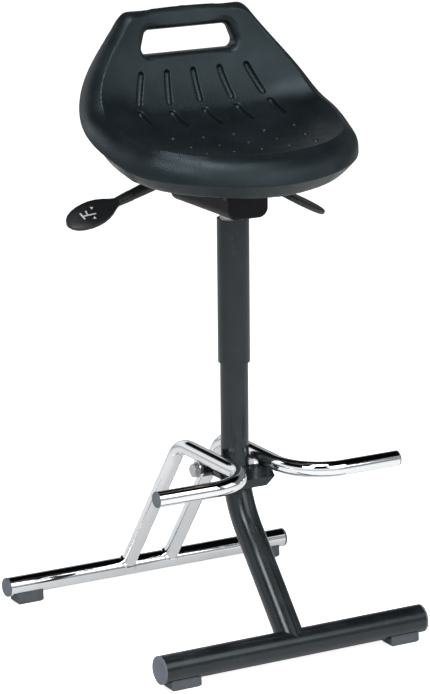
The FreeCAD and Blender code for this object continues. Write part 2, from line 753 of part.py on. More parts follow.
# Mechanism housing
def make_housing():
    """A deep pressed tub with rounded lower edges, holes for the pins and notches for the lever."""
    width = value("tub_width")
    front = -value("tub_front")
    length = value("tub_front + tub_back")
    bottom = value("tub_bottom")
    top = value("tub_top")
    wall = value("tub_wall")
    radius = value("tub_edge_radius")

    def rounded_block(inset, lift, edge_radius):
        """A box with its long lower edges and upright corners rounded."""
        corner = Vector(-width / 2 + inset, front + inset, bottom + inset)
        block = Part.makeBox(width - 2 * inset, length - 2 * inset, top - bottom - inset + lift, corner)
        low = [edge for edge in block.Edges if abs(edge.CenterOfMass.z - corner.z) < 0.01
               and abs(edge.CenterOfMass.x) > 1]
        block = block.makeFillet(edge_radius, low)
        upright = [edge for edge in block.Edges if edge.Length > radius
                   and abs(edge.tangentAt(edge.FirstParameter).z) > 0.99
                   and abs(edge.tangentAt(edge.LastParameter).z) > 0.99]
        return block.makeFillet(edge_radius / 4, upright)

    tub = rounded_block(0, 0, radius).cut(rounded_block(wall, wall, radius - wall))
    behind = value("tub_back + tub_wall")
    slope = [Vector(-width, -value("tilt_pin_front"), top), Vector(-width, behind, top),
             Vector(-width, behind, top - value("tub_back_drop"))]
    tub = tub.cut(Part.Face(Part.makePolygon(slope + slope[:1])).extrude(Vector(2 * width, 0, 0)))
    tub = tub.cut(long_rod(Vector(0, -value("tilt_pin_front"), value("tilt_pin_height")), X_AXIS,
                           value("tilt_pin_diameter / 2"), width))
    tub = tub.cut(long_rod(Vector(0, value("clamp_back"), value("clamp_height")), X_AXIS,
                           value("clamp_diameter / 2 + running_gap"), width))
    socket_hole = Vector(0, 0, bottom - wall / 2)
    tub = tub.cut(Part.makeCylinder(value("socket_diameter / 2"), 2 * wall, socket_hole, Z_AXIS))
    notch = value("lever_rod_diameter + 2 * lever_notch_gap")
    low_corner = Vector(0, value("lever_back") - notch / 2, value("lever_height") - notch / 2)
    shaped("mechanism_housing", tub.cut(Part.makeBox(width, notch, top, low_corner)))


def make_tilt_pin():
    """Pin on which the seat tilts, from wall to wall."""
    body = new_body("tilt_pin")
    sketch = sketch_on(body, "tilt_pin_round", "YZ_Plane", circles=[("0", "0", "tilt_pin_diameter")])
    pad(body, "tilt_pin_length", sketch, "tub_width", both_ways=True)
    place(body, y="-tilt_pin_front", z="tilt_pin_height")


def make_lever_bracket():
    """Two uprights on the tub's floor that carry the lever rod."""
    foot = value("tub_bottom + tub_wall")
    top = value("lever_height + lever_rod_diameter / 2 + side_gap")
    left = value("lever_rod_side - lever_post_width / 2")
    front = value("lever_post_front")
    rear = value("lever_post_rear")
    thick = value("lever_post_thickness")
    width = value("lever_post_width")
    base = Part.makeBox(width, rear - front, thick / 2, Vector(left, front, foot))
    bracket = base
    for y in (front, rear - thick):
        bracket = bracket.fuse(Part.makeBox(width, thick, top - foot, Vector(left, y, foot)))
    rod = Part.makeCylinder(value("lever_rod_diameter / 2 + running_gap"), rear + thick,
                            Vector(value("lever_rod_side"), 0, value("lever_height")), Y_AXIS)
    housing = next(item for item in nodes if item.Label == "mechanism_housing")
    shaped("lever_bracket", bracket.cut(rod).cut(housing.Shape))


# Levers
def make_height_rod():
    """Rod along the tub with a finger over the button and an arm out to the handle."""
    side = value("lever_rod_side")
    height = value("lever_height")
    radius = value("lever_rod_diameter / 2")
    width = value("finger_width")
    start = -width / 2
    corner = Vector(side, value("lever_back"), height)
    rod = Part.makeCylinder(radius, corner.y - start, Vector(side, start, height), Y_AXIS)
    tip = Vector(-value("button_diameter / 2"), start, value("button_top"))
    finger = Part.makeBox(side - tip.x, width, value("finger_thickness"), tip)
    arm = Part.makeCylinder(radius, value("handle_start + stem_length / 3") - side, corner, X_AXIS)
    ball = Part.makeSphere(radius, corner)
    shaped("height_rod", rod.fuse([finger, arm, ball]).removeSplitter())


def handle_shape():
    """A plastic handle along +X from the origin: tapering stem and oval paddle."""
    stem = value("stem_length")
    half_length = value("paddle_length / 2")
    thick = value("paddle_thickness")

    def oval(x, width, height):
        """An oval across the stem."""
        edge = Part.Ellipse(Vector(0, 0, 0), width / 2, height / 2).toShape()
        edge.rotate(Vector(0, 0, 0), Vector(1, 1, 1), 120)
        edge.translate(Vector(x, 0, 0))
        return Part.Wire(edge)

    rings = [oval(0, value("stem_width"), value("stem_width - 0.5")),
             oval(stem * 0.4, value("stem_width + 1"), value("stem_width - 2")),
             oval(stem * 0.9, value("neck_width"), value("neck_thickness")),
             oval(stem + half_length * 0.5, value("neck_width"), thick * 0.7)]
    handle = Part.makeLoft(rings, True, False)
    centre = Vector(stem + half_length, 0, -thick / 2)
    outline = Part.Ellipse(centre, half_length, value("paddle_width / 2")).toShape()
    paddle = Part.Face(Part.Wire(outline)).extrude(Vector(0, 0, thick))
    rims = [edge for edge in paddle.Edges if edge.Length > half_length * 2]
    return handle.fuse(paddle.makeFillet(value("paddle_edge"), rims))


def make_handles():
    """The two plastic handles, each on its own shaft."""
    hub = value("handle_hub_diameter / 2")
    start = value("handle_start")
    inner = value("tub_width / 2 + side_gap")
    clear = inner + value("handle_wall_gap")
    reach = value("handle_start + stem_length / 3")
    plastic = handle_shape()
    knuckle = Part.makeSphere(value("knuckle_diameter / 2"), Vector(0, 0, 0))

    height_place = Vector(0, value("lever_back"), value("lever_height"))
    right = plastic.copy()
    right.rotate(Vector(0, 0, 0), Y_AXIS, value("height_handle_droop"))
    shank = Part.makeCylinder(hub, start - clear, Vector(clear - start, 0, 0), X_AXIS)
    right = right.fuse([knuckle, shank])
    right.translate(height_place + Vector(start, 0, 0))
    bore = Part.makeCylinder(value("lever_rod_diameter / 2"), reach, height_place, X_AXIS)
    shaped("height_handle", right.cut(bore).removeSplitter())

    clamp_place = Vector(0, value("clamp_back"), value("clamp_height"))
    left = plastic.copy()
    left.rotate(Vector(0, 0, 0), X_AXIS, value("tilt_handle_turn"))
    left.rotate(Vector(0, 0, 0), Y_AXIS, value("tilt_handle_droop"))
    shank = Part.makeCylinder(hub, start - inner, Vector(inner - start, 0, 0), X_AXIS)
    left = left.fuse([knuckle, shank]).mirror(Vector(0, 0, 0), X_AXIS)
    left.translate(clamp_place - Vector(start, 0, 0))
    bore = Part.makeCylinder(value("clamp_diameter / 2"), reach, clamp_place, X_AXIS * -1)
    shaped("tilt_handle", left.cut(bore).removeSplitter())


def make_clamp_bolt():
    """Bolt through the housing that the tilt handle turns, and the nut that it draws up."""
    outer = value("tub_width / 2")
    centre = Vector(0, value("clamp_back"), value("clamp_height"))
    radius = value("clamp_diameter / 2")
    head = value("clamp_head_height")
    end = outer + value("side_gap") + head
    left_end = value("handle_start + stem_length / 3")
    shaft = Part.makeCylinder(radius, left_end + end + 2, centre - X_AXIS * left_end, X_AXIS)
    shaped("tilt_clamp_bolt", shaft)
    ring("tilt_clamp_nut", "clamp_head_diameter", "clamp_diameter + 2 * running_gap", "clamp_head_height",
         "YZ_Plane", x="tub_width / 2", y="clamp_back", z="clamp_height")


# Seat plate, insert and screws
def screw_places():
    """The four seat screws, as points on the floor plane."""
    side = value("seat_screw_side")
    return [Vector(x, y, 0) for x in (-side, side)
            for y in (-value("seat_screw_front"), value("seat_screw_back"))]


def arc_slot(centre, reach, half_width, low, high, depth):
    """A slot of even width along an arc round a centre, in the plane across X."""
    def spot(radius, turn):
        """A point of the slot's outline."""
        return centre + Vector(0, radius * math.cos(turn), radius * math.sin(turn))

    middle = (low + high) / 2
    inner = reach - half_width
    outer = reach + half_width
    edges = [Part.Arc(spot(outer, low), spot(outer, middle), spot(outer, high)).toShape(),
             Part.LineSegment(spot(outer, high), spot(inner, high)).toShape(),
             Part.Arc(spot(inner, high), spot(inner, middle), spot(inner, low)).toShape(),
             Part.LineSegment(spot(inner, low), spot(outer, low)).toShape()]
    slot = Part.Face(Part.Wire(edges)).extrude(X_AXIS * depth)
    ends = [Part.makeCylinder(half_width, depth, spot(reach, turn), X_AXIS) for turn in (low, high)]
    return slot.fuse(ends)


def make_seat_plate():
    """Steel plate under the seat with two pairs of ears that reach into the housing."""
    bottom = value("plate_bottom")
    thick = value("plate_thickness")
    half = value("plate_half_width")
    front = -value("plate_front")
    back = value("plate_back")
    plate = Part.makeBox(2 * half, back - front, thick, Vector(-half, front, bottom))
    upright = [edge for edge in plate.Edges if abs(edge.tangentAt(edge.FirstParameter).z) > 0.9]
    plate = plate.makeFillet(value("plate_corner"), upright)
    pin = Vector(0, -value("tilt_pin_front"), value("tilt_pin_height"))
    clamp = Vector(0, value("clamp_back"), value("clamp_height"))
    reach = (clamp - pin).Length
    slot_radius = value("clamp_diameter / 2 + 2 * running_gap")
    rise = reach * math.sin(math.radians(value("tilt_forward")))
    margin = value("ear_margin")
    ear = value("seat_ear_thickness")
    outside = value("tub_width / 2 - tub_wall - ear_gap")
    front_width = value("front_ear_width")
    rear_width = value("rear_ear_width")
    front_low = pin.z - value("tilt_pin_diameter / 2") - margin
    rear_low = clamp.z - rise - slot_radius - margin
    front_ear = Part.makeBox(ear, front_width, bottom - front_low + thick / 2,
                             Vector(outside - ear, pin.y - front_width / 2 + value("front_ear_shift"), front_low))
    rear_ear = Part.makeBox(ear, rear_width, bottom - rear_low + thick / 2,
                            Vector(outside - ear, clamp.y - rear_width / 2, rear_low))
    level = math.atan2(clamp.z - pin.z, clamp.y - pin.y)
    low = level - math.radians(value("tilt_forward"))
    high = level + math.radians(value("tilt_backward"))
    slot = arc_slot(pin, reach, slot_radius, low, high, outside)
    for piece in (front_ear, rear_ear.cut(slot)):
        plate = plate.fuse([piece, piece.mirror(Vector(0, 0, 0), X_AXIS)])
    plate = plate.cut(long_rod(pin, X_AXIS, value("tilt_pin_diameter / 2 + running_gap"), WIDE / 2))
    for spot in screw_places():
        plate = plate.cut(Part.makeCylinder(value("seat_screw_diameter / 2"), WIDE, spot, Z_AXIS))
    shaped("seat_plate", plate.removeSplitter())


def make_insert():
    """Plywood board that the foam is moulded round, bored for the screws."""
    body = new_body("seat_insert")
    outline = [("-insert_half_width", "-insert_front"), ("insert_half_width", "-insert_front"),
               ("insert_half_width", "insert_back"), ("-insert_half_width", "insert_back")]
    sketch = sketch_on(body, "seat_insert_outline", "XY_Plane", outline)
    pad(body, "seat_insert_board", sketch, "insert_thickness")
    holes = [(f"{side} * seat_screw_side", y, "seat_screw_diameter") for side in (-1, 1)
             for y in ("-seat_screw_front", "seat_screw_back")]
    screws = sketch_on(body, "seat_insert_screws", "XY_Plane", circles=holes)
    pocket_through(body, "seat_insert_holes", screws)
    place(body, z="seat_underside")


def make_seat_screws():
    """Four screws up through the plate into the insert."""
    radius = value("seat_screw_diameter / 2")
    head = value("seat_screw_head / 2")
    height = value("seat_screw_head_height")
    bottom = value("plate_bottom")
    length = value("plate_thickness + insert_thickness")
    screws = []
    for spot in screw_places():
        shank = Part.makeCylinder(radius, length, spot + Z_AXIS * bottom, Z_AXIS)
        dome = Part.makeCone(head * 0.6, head, height, spot + Z_AXIS * (bottom - height), Z_AXIS)
        screws.append(shank.fuse(dome))
    shaped("seat_screws", Part.makeCompound(screws))


# Moulded seat
# Half outlines from the front middle round one side to the back middle, with heights
# above the underside, drawn for a seat of SEAT_SIZE: half width, front, back, rise
SEAT_EDGE = [(0, -157, 16), (50, -151, 17), (97, -136, 20), (133, -112, 22), (163, -84, 25), (187, -48, 31),
             (200, -10, 43), (207, 26, 56), (208, 62, 71), (202, 95, 91), (188, 121, 120), (163, 140, 156),
             (136, 147, 190), (116, 149, 216), (101, 150, 231), (52, 150, 234), (0, 150, 235)]
SEAT_CREASE = [(0, -120, 55), (42, -117, 56), (80, -110, 58), (110, -99, 61), (136, -81, 64), (157, -60, 68),
               (169, -26, 74), (177, 6, 82), (179, 34, 91), (177, 61, 104), (168, 90, 128), (145, 113, 165),
               (125, 121, 191), (109, 125, 210), (95, 128, 223), (48, 138, 228), (0, 140, 228)]
SEAT_SIZE = (208.0, 157.0, 150.0, 235.0)
# Middle line of the dish from its front crease to the top of the back, as place and height
DISH_LINE = [(-120, 55), (-87, 57), (-48, 60), (-5, 65), (37, 75), (65, 81), (84, 90), (97, 104), (107, 121),
             (118, 146), (129, 185), (140, 228)]
# How far the dish rises at its sides: share of the middle line, half width, rise
DISH_SIDES = [(0.0, 100, 4), (0.1, 130, 6), (0.2, 160, 10), (0.32, 175, 14), (0.44, 179, 17),
              (0.54, 177, 20), (0.64, 168, 19), (0.76, 145, 12), (0.86, 125, 9), (0.94, 109, 9), (1.0, 95, 9)]

# Grooves and dots in the dish: shares of the middle line, then shares of the half width at the outer one
GROOVE_ROWS = [(0.752, 0.613, 0.43, 0.51), (0.572, 0.441, 0.53, 0.53)]
DOT_ROWS = [(0.32, 0.49), (0.2, 0.46), (0.092, 0.435)]


def seat_point(x, y, z):
    """A point of the seat at the sizes in the sheet."""
    half_width, front, back, _ = SEAT_SIZE
    x *= value("seat_half_width") / half_width
    y *= value("seat_front") / front if y < 0 else value("seat_back") / back
    return Vector(x, y, value("seat_underside") + upwards(z))


def upwards(drawn):
    """A drawn height at the seat's rise in the sheet."""
    return drawn * value("seat_rise") / SEAT_SIZE[3]


def between(rows, mark):
    """Straight interpolation in rows that start with a mark, carried on past both ends."""
    number = max([index for index in range(len(rows) - 1) if rows[index][0] <= mark], default=0)
    low, high = rows[number], rows[number + 1]
    t = (mark - low[0]) / (high[0] - low[0])
    return [a + (b - a) * t for a, b in zip(low[1:], high[1:])]


def dish_line():
    """The middle line of the dish as a smooth curve, with its length."""
    curve = Part.BSplineCurve()
    curve.interpolate([seat_point(0, y, z) for y, z in DISH_LINE])
    return curve, curve.length()


def dish_point(curve, length, x, share):
    """A point of the dish at a side distance and a share of the middle line."""
    inside = min(max(share, 0), 1)
    mark = curve.parameterAtDistance(length * inside, curve.FirstParameter)
    spot = curve.value(mark)
    along = Vector(*curve.tangent(mark)[0]).normalize()
    spot += along * ((share - inside) * length)
    half_width, rise = between(DISH_SIDES, inside)
    half_width *= value("seat_half_width") / SEAT_SIZE[0]
    lift = upwards(rise) * (abs(x) / half_width) ** 2.6
    return spot + X_AXIS.cross(along) * lift + Vector(x, 0, 0)


def bulged(start, end, share, outward, bulge):
    """A point part way between two others, pushed out sideways."""
    chord = end - start
    along = Vector(chord).normalize()
    side = outward - along * outward.dot(along)
    return start + chord * share + side.normalize() * (bulge * chord.Length * 4 * share * (1 - share))


def seat_rows():
    """The rows of the seat's skin: underside, then rim and the lid that the dish cuts off."""
    edge = [seat_point(*spot) for spot in SEAT_EDGE]
    crease = [seat_point(*spot) for spot in SEAT_CREASE]
    last = len(edge) - 1
    flat = [Vector(0.68 * spot.x, spot.y * (0.8 if spot.y < 0 else 0.66), value("seat_underside"))
            for spot in edge]
    heel = []
    for number, spot in enumerate(edge):
        drop = upwards(18 - 8 * number / last)
        heel.append(Vector(0.92 * spot.x, spot.y * (0.9 if spot.y < 0 else 1.01), spot.z - drop))
    under = [flat]
    for share in (0.34, 0.67):
        row = []
        for number, (start, end) in enumerate(zip(flat, heel)):
            swell = 0.11 * min(1, max(0, 1.8 * number / last - 0.3))
            outward = Vector(2.3 * start.x / value("seat_half_width"), 1, -1)
            row.append(bulged(start, end, share, outward, swell))
        under.append(row)
    under += [heel, edge]
    rim = [edge]
    for share in (0.35, 0.7):
        row = []
        for number, (start, end) in enumerate(zip(edge, crease)):
            outward = Vector(1.22 * start.x / value("seat_half_width"), -1, 1)
            row.append(bulged(start, end, share, outward, 0.18 - 0.12 * number / last))
        rim.append(row)
    lid = []
    for number, spot in enumerate(crease):
        y = max(spot.y - upwards(2 + 12 * number / last), 0.9 * crease[0].y)
        lid.append(Vector(0.9 * spot.x, y, spot.z + upwards(16 - 10 * number / last)))
    rim += [crease, lid]
    return under, rim


def closed_row(row, marks):
    """A smooth closed line through a row and its mirror image."""
    mirrored = [Vector(-spot.x, spot.y, spot.z) for spot in reversed(row[1:-1])]
    curve = Part.BSplineCurve()
    curve.interpolate(Points=row + mirrored, PeriodicFlag=True, Parameters=marks)
    return Part.Wire(curve.toShape())


def row_marks(row):
    """Spacing of the points along a closed row."""
    whole = row + [Vector(-spot.x, spot.y, spot.z) for spot in reversed(row[1:-1])] + row[:1]
    marks = [0.0]
    for before, after in zip(whole, whole[1:]):
        marks.append(marks[-1] + (after - before).Length)
    return [mark / marks[-1] for mark in marks]


def hand_hole():
    """The space of the hand hole through the back."""
    top = value("hole_top")
    bottom = value("hole_bottom")
    low = value("hole_half_bottom")
    high = value("hole_half_top")
    corners = [Vector(-low, 0, bottom), Vector(low, 0, bottom), Vector(high, 0, top), Vector(-high, 0, top)]
    window = Part.Face(Part.makePolygon(corners + corners[:1])).extrude(Vector(0, 2 * value("seat_back"), 0))
    upright = [edge for edge in window.Edges if abs(edge.tangentAt(edge.FirstParameter).y) > 0.9]
    return window.makeFillet(value("hole_corner"), upright)


def insert_room():
    """The recess for the board under the seat."""
    half = value("insert_half_width")
    depth = value("insert_front + insert_back")
    bottom = value("seat_underside - insert_thickness")
    return Part.makeBox(2 * half, depth, 2 * value("insert_thickness"),
                        Vector(-half, -value("insert_front"), bottom))


def make_seat():
    """The moulded seat: a skin in closed bands, hollowed by the dish, with hand hole and grooves."""
    under, rim = seat_rows()
    marks = row_marks(rim[0])
    apex = Vector(0, -0.3 * value("seat_front"), value("seat_underside + 0.8 * seat_rise"))
    peak = [apex + Vector(spot.x, spot.y, spot.y) * 0.2 for spot in rim[-1]]
    skins = []
    for band, ruled in ((under, False), (rim, False), ([rim[-1], peak], True)):
        skins += Part.makeLoft([closed_row(row, marks) for row in band], False, ruled).Faces
    skins.append(Part.Face(closed_row(under[0], marks)))
    skins.append(Part.Face(closed_row(peak, marks)))
    shell = Part.makeCompound(skins)
    shell.sewShape()
    seat = Part.Solid(shell.Shells[0])
    if seat.Volume < 0:
        seat.reverse()

    curve, length = dish_line()
    reach = 1.12 * value("seat_half_width")
    columns = [reach * number / 7 for number in range(-7, 8)]
    shares = [number / 16 for number in range(-2, 19)]
    grid = [[dish_point(curve, length, x, share) for share in shares] for x in columns]
    surface = Part.BSplineSurface()
    surface.interpolate(grid)
    dish = surface.toShape().extrude(Vector(0, -1, 1) * value("seat_rise"))
    seat = seat.cut(dish)

    tools = [hand_hole(), insert_room()]
    radius = value("groove_radius")
    for start_share, end_share, start_side, end_side in GROOVE_ROWS:
        for place in range(-2, 3):
            spots = []
            for t in (0, 0.5, 1):
                x = place / 2 * value("seat_half_width") * (start_side + (end_side - start_side) * t)
                spots.append(dish_point(curve, length, x, start_share + (end_share - start_share) * t))
            channel = swept_rod(Part.Wire(Part.Arc(*spots).toShape()), radius)
            ends = [Part.makeSphere(radius, spot) for spot in (spots[0], spots[2])]
            tools.append(channel.fuse(ends))
    for share, side in DOT_ROWS:
        for place in range(-2, 3):
            spot = dish_point(curve, length, place / 2 * value("seat_half_width") * side, share)
            tools.append(Part.makeSphere(radius, spot + Z_AXIS * (radius / 2)))
    for tool in tools:
        seat = seat.cut(tool)
    shaped("seat_foam", seat)


make_post_leg()
make_foot_bar("front_foot_bar", "front_bar_diameter", "front_bar_wall", "front_bar_length", "0",
              "front_bar_height")
nodes[-1].Placement.Base.y = front_bar_place.y
make_front_caps()
drill_for_screws("front_foot_bar", make_pads("front", "front_bar", front_bar_place, "front_pad_centre"))
make_stop_bracket()
make_pivot_lug()
make_pivot_bushes()
make_foot_bar("rear_foot_bar", "rear_bar_diameter", "rear_bar_wall", "rear_bar_length", "rear_bar_back",
              "rear_bar_height")
make_flat_caps("rear_bar_caps", "rear_bar_diameter", "rear_bar_wall", "rear_cap_thickness",
               "rear_bar_length / 2", "rear_bar_back", "rear_bar_height")
drill_for_screws("rear_foot_bar", make_pads("rear", "rear_bar", rear_bar_place, "rear_pad_centre"))
make_frame_tube("left_footrest_tube", -1)
make_frame_tube("right_footrest_tube", 1)
make_flat_caps("footrest_caps", "footrest_diameter", "footrest_wall", "footrest_cap_thickness",
               "footrest_half_span", "-footrest_reach", "footrest_height")
make_frame_ear("left_frame_ear", -1)
make_frame_ear("right_frame_ear", 1)
make_pivot_bolt()
make_post_guide()
make_spring_support()
make_gas_rod()
make_gas_cylinder()
make_column()
make_housing()
make_tilt_pin()
make_lever_bracket()
make_height_rod()
make_handles()
make_clamp_bolt()
make_seat_plate()
make_insert()
make_seat_screws()
make_seat()

# The origin moves from under the post to under the middle of the feet
middle = (rear_bar_place.y + value("rear_bar_diameter / 2") + front_bar_place.y
          - value("front_bar_diameter / 2")) / 2
for item in nodes:
    bindings = dict(item.ExpressionEngine)
    bound_place = bindings.get("Placement.Base.y") or bindings.get(".Placement.Base.y")
    if bound_place:
        item.setExpression("Placement.Base.y", f"{bound_place} - {middle}")
    else:
        item.Placement.Base.y -= middle
doc.recompute()
for item in doc.Objects:
    failed = [mark for mark in item.State if mark in ("Invalid", "Error")]
    if failed:
        raise RuntimeError(f"{item.Label} did not build: {failed}")
os.makedirs("parts", exist_ok=True)
for item in nodes:
    if item.Shape.isNull() or not item.Shape.isValid():
        raise RuntimeError(f"{item.Label} has no valid shape")
for item in nodes:
    item.Shape.exportStep(os.path.join("parts", item.Label + ".step"))
print(len(nodes), "pieces written")
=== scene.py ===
"""Looks of a perch stool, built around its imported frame."""

import json
import logging
import math
from dataclasses import dataclass, field
from enum import Enum
from typing import Sequence

import bmesh
import bpy
import numpy as np
from bpy.types import ID, Material, Mesh, Node, NodeSocket, NodeTree, Object, World
from mathutils import Matrix, Vector


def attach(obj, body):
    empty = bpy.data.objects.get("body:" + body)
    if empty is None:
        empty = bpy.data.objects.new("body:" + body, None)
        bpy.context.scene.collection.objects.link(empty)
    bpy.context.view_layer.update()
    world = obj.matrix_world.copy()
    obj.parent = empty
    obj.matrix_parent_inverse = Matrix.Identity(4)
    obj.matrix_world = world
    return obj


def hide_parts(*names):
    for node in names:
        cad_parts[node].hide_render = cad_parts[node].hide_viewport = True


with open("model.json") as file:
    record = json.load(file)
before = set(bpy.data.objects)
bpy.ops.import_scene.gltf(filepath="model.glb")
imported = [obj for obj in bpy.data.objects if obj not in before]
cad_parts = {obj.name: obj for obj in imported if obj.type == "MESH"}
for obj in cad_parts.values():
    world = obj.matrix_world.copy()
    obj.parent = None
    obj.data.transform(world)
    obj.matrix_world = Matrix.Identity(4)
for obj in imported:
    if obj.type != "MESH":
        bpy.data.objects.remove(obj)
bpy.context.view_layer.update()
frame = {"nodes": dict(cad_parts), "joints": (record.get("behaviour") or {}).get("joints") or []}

LOG = logging.getLogger("stool")
MM = 0.001


# Small tools

def joint_place(name: str) -> Vector:
    """Where a joint's axis passes, in metres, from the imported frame."""
    return next(Vector(joint["pos_m"]) for joint in frame["joints"] if joint["name"] == name)


def unit(vector: np.ndarray) -> np.ndarray:
    """A vector's direction, one long."""
    return vector / np.linalg.norm(vector)


def runs_along(points: np.ndarray) -> np.ndarray:
    """How far along a line each of its points lies."""
    return np.concatenate([[0], np.cumsum(np.linalg.norm(np.diff(points, axis=0), axis=1))])


def linear(hex_code: str, alpha: float = 1.0) -> tuple[float, float, float, float]:
    """Turn an sRGB hex colour into the linear one that the shaders take.

    Args:
        hex_code: Six hex digits after a hash.
        alpha: The fourth channel.

    Returns:
        Linear red, green, blue and alpha.
    """
    channels = [int(hex_code[place:place + 2], 16) / 255 for place in (1, 3, 5)]
    red, green, blue = (c / 12.92 if c <= 0.04045 else ((c + 0.055) / 1.055) ** 2.4 for c in channels)
    return red, green, blue, alpha


def add(tree: NodeTree, kind: str, inputs: dict | None = None, **settings) -> Node:
    """Add a node with its settings, values and links.

    Args:
        tree: The node tree that gets it.
        kind: The node's type name after ShaderNode.
        inputs: Socket names or numbers, each with a value, or an output socket or a node to link.
        settings: Properties of the node.

    Returns:
        The new node.
    """
    made = tree.nodes.new("ShaderNode" + kind)
    for name, setting in settings.items():
        setattr(made, name, setting)
    for name, content in (inputs or {}).items():
        if isinstance(content, Node):
            content = content.outputs[0]
        if isinstance(content, NodeSocket):
            tree.links.new(content, made.inputs[name])
        else:
            made.inputs[name].default_value = content
    return made


def ramp(tree: NodeTree, factor: NodeSocket, stops: Sequence[tuple[float, tuple]]) -> NodeSocket:
    """Spread colours over a factor.

    Args:
        tree: The node tree.
        factor: What chooses the colour.
        stops: Positions with their colours.

    Returns:
        The colour output.
    """
    made = add(tree, "ValToRGB", {"Fac": factor})
    elements = made.color_ramp.elements
    while len(elements) < len(stops):
        elements.new(0.5)
    for element, (position, colour) in zip(elements, stops):
        element.position = position
        element.color = colour
    return made.outputs["Color"]


def empty_tree(owner: Material | World) -> NodeTree:
    """Empty a node tree.

    Args:
        owner: The material or world whose tree it is.

    Returns:
        The tree, with nothing in it.
    """
    owner.use_nodes = True
    owner.node_tree.nodes.clear()
    return owner.node_tree


def new_object(name: str, data: ID) -> Object:
    """Put a mesh, lamp or camera in the scene.

    Args:
        name: The object's name.
        data: What it shows.

    Returns:
        The object.
    """
    made = bpy.data.objects.new(name, data)
    bpy.context.scene.collection.objects.link(made)
    return made


def mesh_of(name: str, points: Sequence[Sequence[float]], faces: Sequence[Sequence[int]]) -> Object:
    """Make an object of points in millimetres and faces.

    Args:
        name: The object's name.
        points: Corners in millimetres.
        faces: Corner numbers of each face.

    Returns:
        The object, with its normals pointing out.
    """
    mesh = bpy.data.meshes.new(name)
    mesh.from_pydata([tuple(c * MM for c in point) for point in points], [], [tuple(f) for f in faces])
    work = bmesh.new()
    work.from_mesh(mesh)
    bmesh.ops.recalc_face_normals(work, faces=work.faces)
    work.to_mesh(mesh)
    work.free()
    return new_object(name, mesh)


def tube_of_rings(name: str, rings: Sequence[np.ndarray]) -> Object:
    """Skin a row of closed rings and close both ends.

    Args:
        name: The object's name.
        rings: Rings of equal length, in millimetres.

    Returns:
        The object.
    """
    size = len(rings[0])
    points = [point for ring in rings for point in ring]
    faces = [(row * size + place, row * size + (place + 1) % size,
              (row + 1) * size + (place + 1) % size, (row + 1) * size + place)
             for row in range(len(rings) - 1) for place in range(size)]
    faces.append(tuple(range(size)))
    faces.append(tuple(range((len(rings) - 1) * size, len(rings) * size)))
    return mesh_of(name, points, faces)


def bake_modifiers(piece: Object) -> None:
    """Apply every modifier of a piece to its mesh.

    Args:
        piece: The object with modifiers.
    """
    graph = bpy.context.evaluated_depsgraph_get()
    finished = bpy.data.meshes.new_from_object(piece.evaluated_get(graph))
    piece.modifiers.clear()
    piece.data = finished


def smooth(piece: Object, angle: float = 180.0) -> None:
    """Shade a piece smoothly.

    Args:
        piece: The object.
        angle: Edges sharper than this many degrees stay sharp.
    """
    for polygon in piece.data.polygons:
        polygon.use_smooth = True
    if angle < 180.0:
        piece.data.set_sharp_from_angle(angle=math.radians(angle))


def dress(piece: Object, material: Material) -> None:
    """Give a piece one material.

    Args:
        piece: The object.
        material: Its only material.
    """
    piece.data.materials.clear()
    piece.data.materials.append(material)


def spline(marks: np.ndarray, values: np.ndarray, at: np.ndarray, closed: bool = False) -> np.ndarray:
    """Interpolate rows of points with a cubic spline.

    Args:
        marks: Rising marks, one per row, and for a closed line one more that ends it.
        values: One point per row.
        at: Marks to read.
        closed: Whether the line ends where it starts.

    Returns:
        One point per mark read.
    """
    values = np.asarray(values, float)
    if closed:
        values = np.vstack([values, values[:1]])
    count = len(values)
    # The bends are second derivatives, found so that the slope runs on at each mark
    steps = np.diff(marks)
    slopes = np.diff(values, axis=0) / steps[:, None]
    matrix = np.zeros((count, count))
    right = np.zeros_like(values)
    for row in range(1, count - 1):
        matrix[row, row - 1:row + 2] = steps[row - 1], 2 * (steps[row - 1] + steps[row]), steps[row]
        right[row] = 6 * (slopes[row] - slopes[row - 1])
    if closed:
        matrix[0, 0], matrix[0, -1] = 1, -1
        matrix[-1, 0], matrix[-1, 1] = 2 * steps[0], steps[0]
        matrix[-1, -1], matrix[-1, -2] = 2 * steps[-1], steps[-1]
        right[-1] = 6 * (slopes[0] - slopes[-1])
    else:
        matrix[0, 0] = matrix[-1, -1] = 1
    bends = np.linalg.solve(matrix, right)
    place = np.clip(np.searchsorted(marks, at, side="right") - 1, 0, count - 2)
    step = steps[place][:, None]
    low = (marks[place + 1] - at)[:, None]
    high = (at - marks[place])[:, None]
    return (bends[place] * low ** 3 / (6 * step) + bends[place + 1] * high ** 3 / (6 * step)
            + (values[place] / step - bends[place] * step / 6) * low
            + (values[place + 1] / step - bends[place + 1] * step / 6) * high)


# Finishes

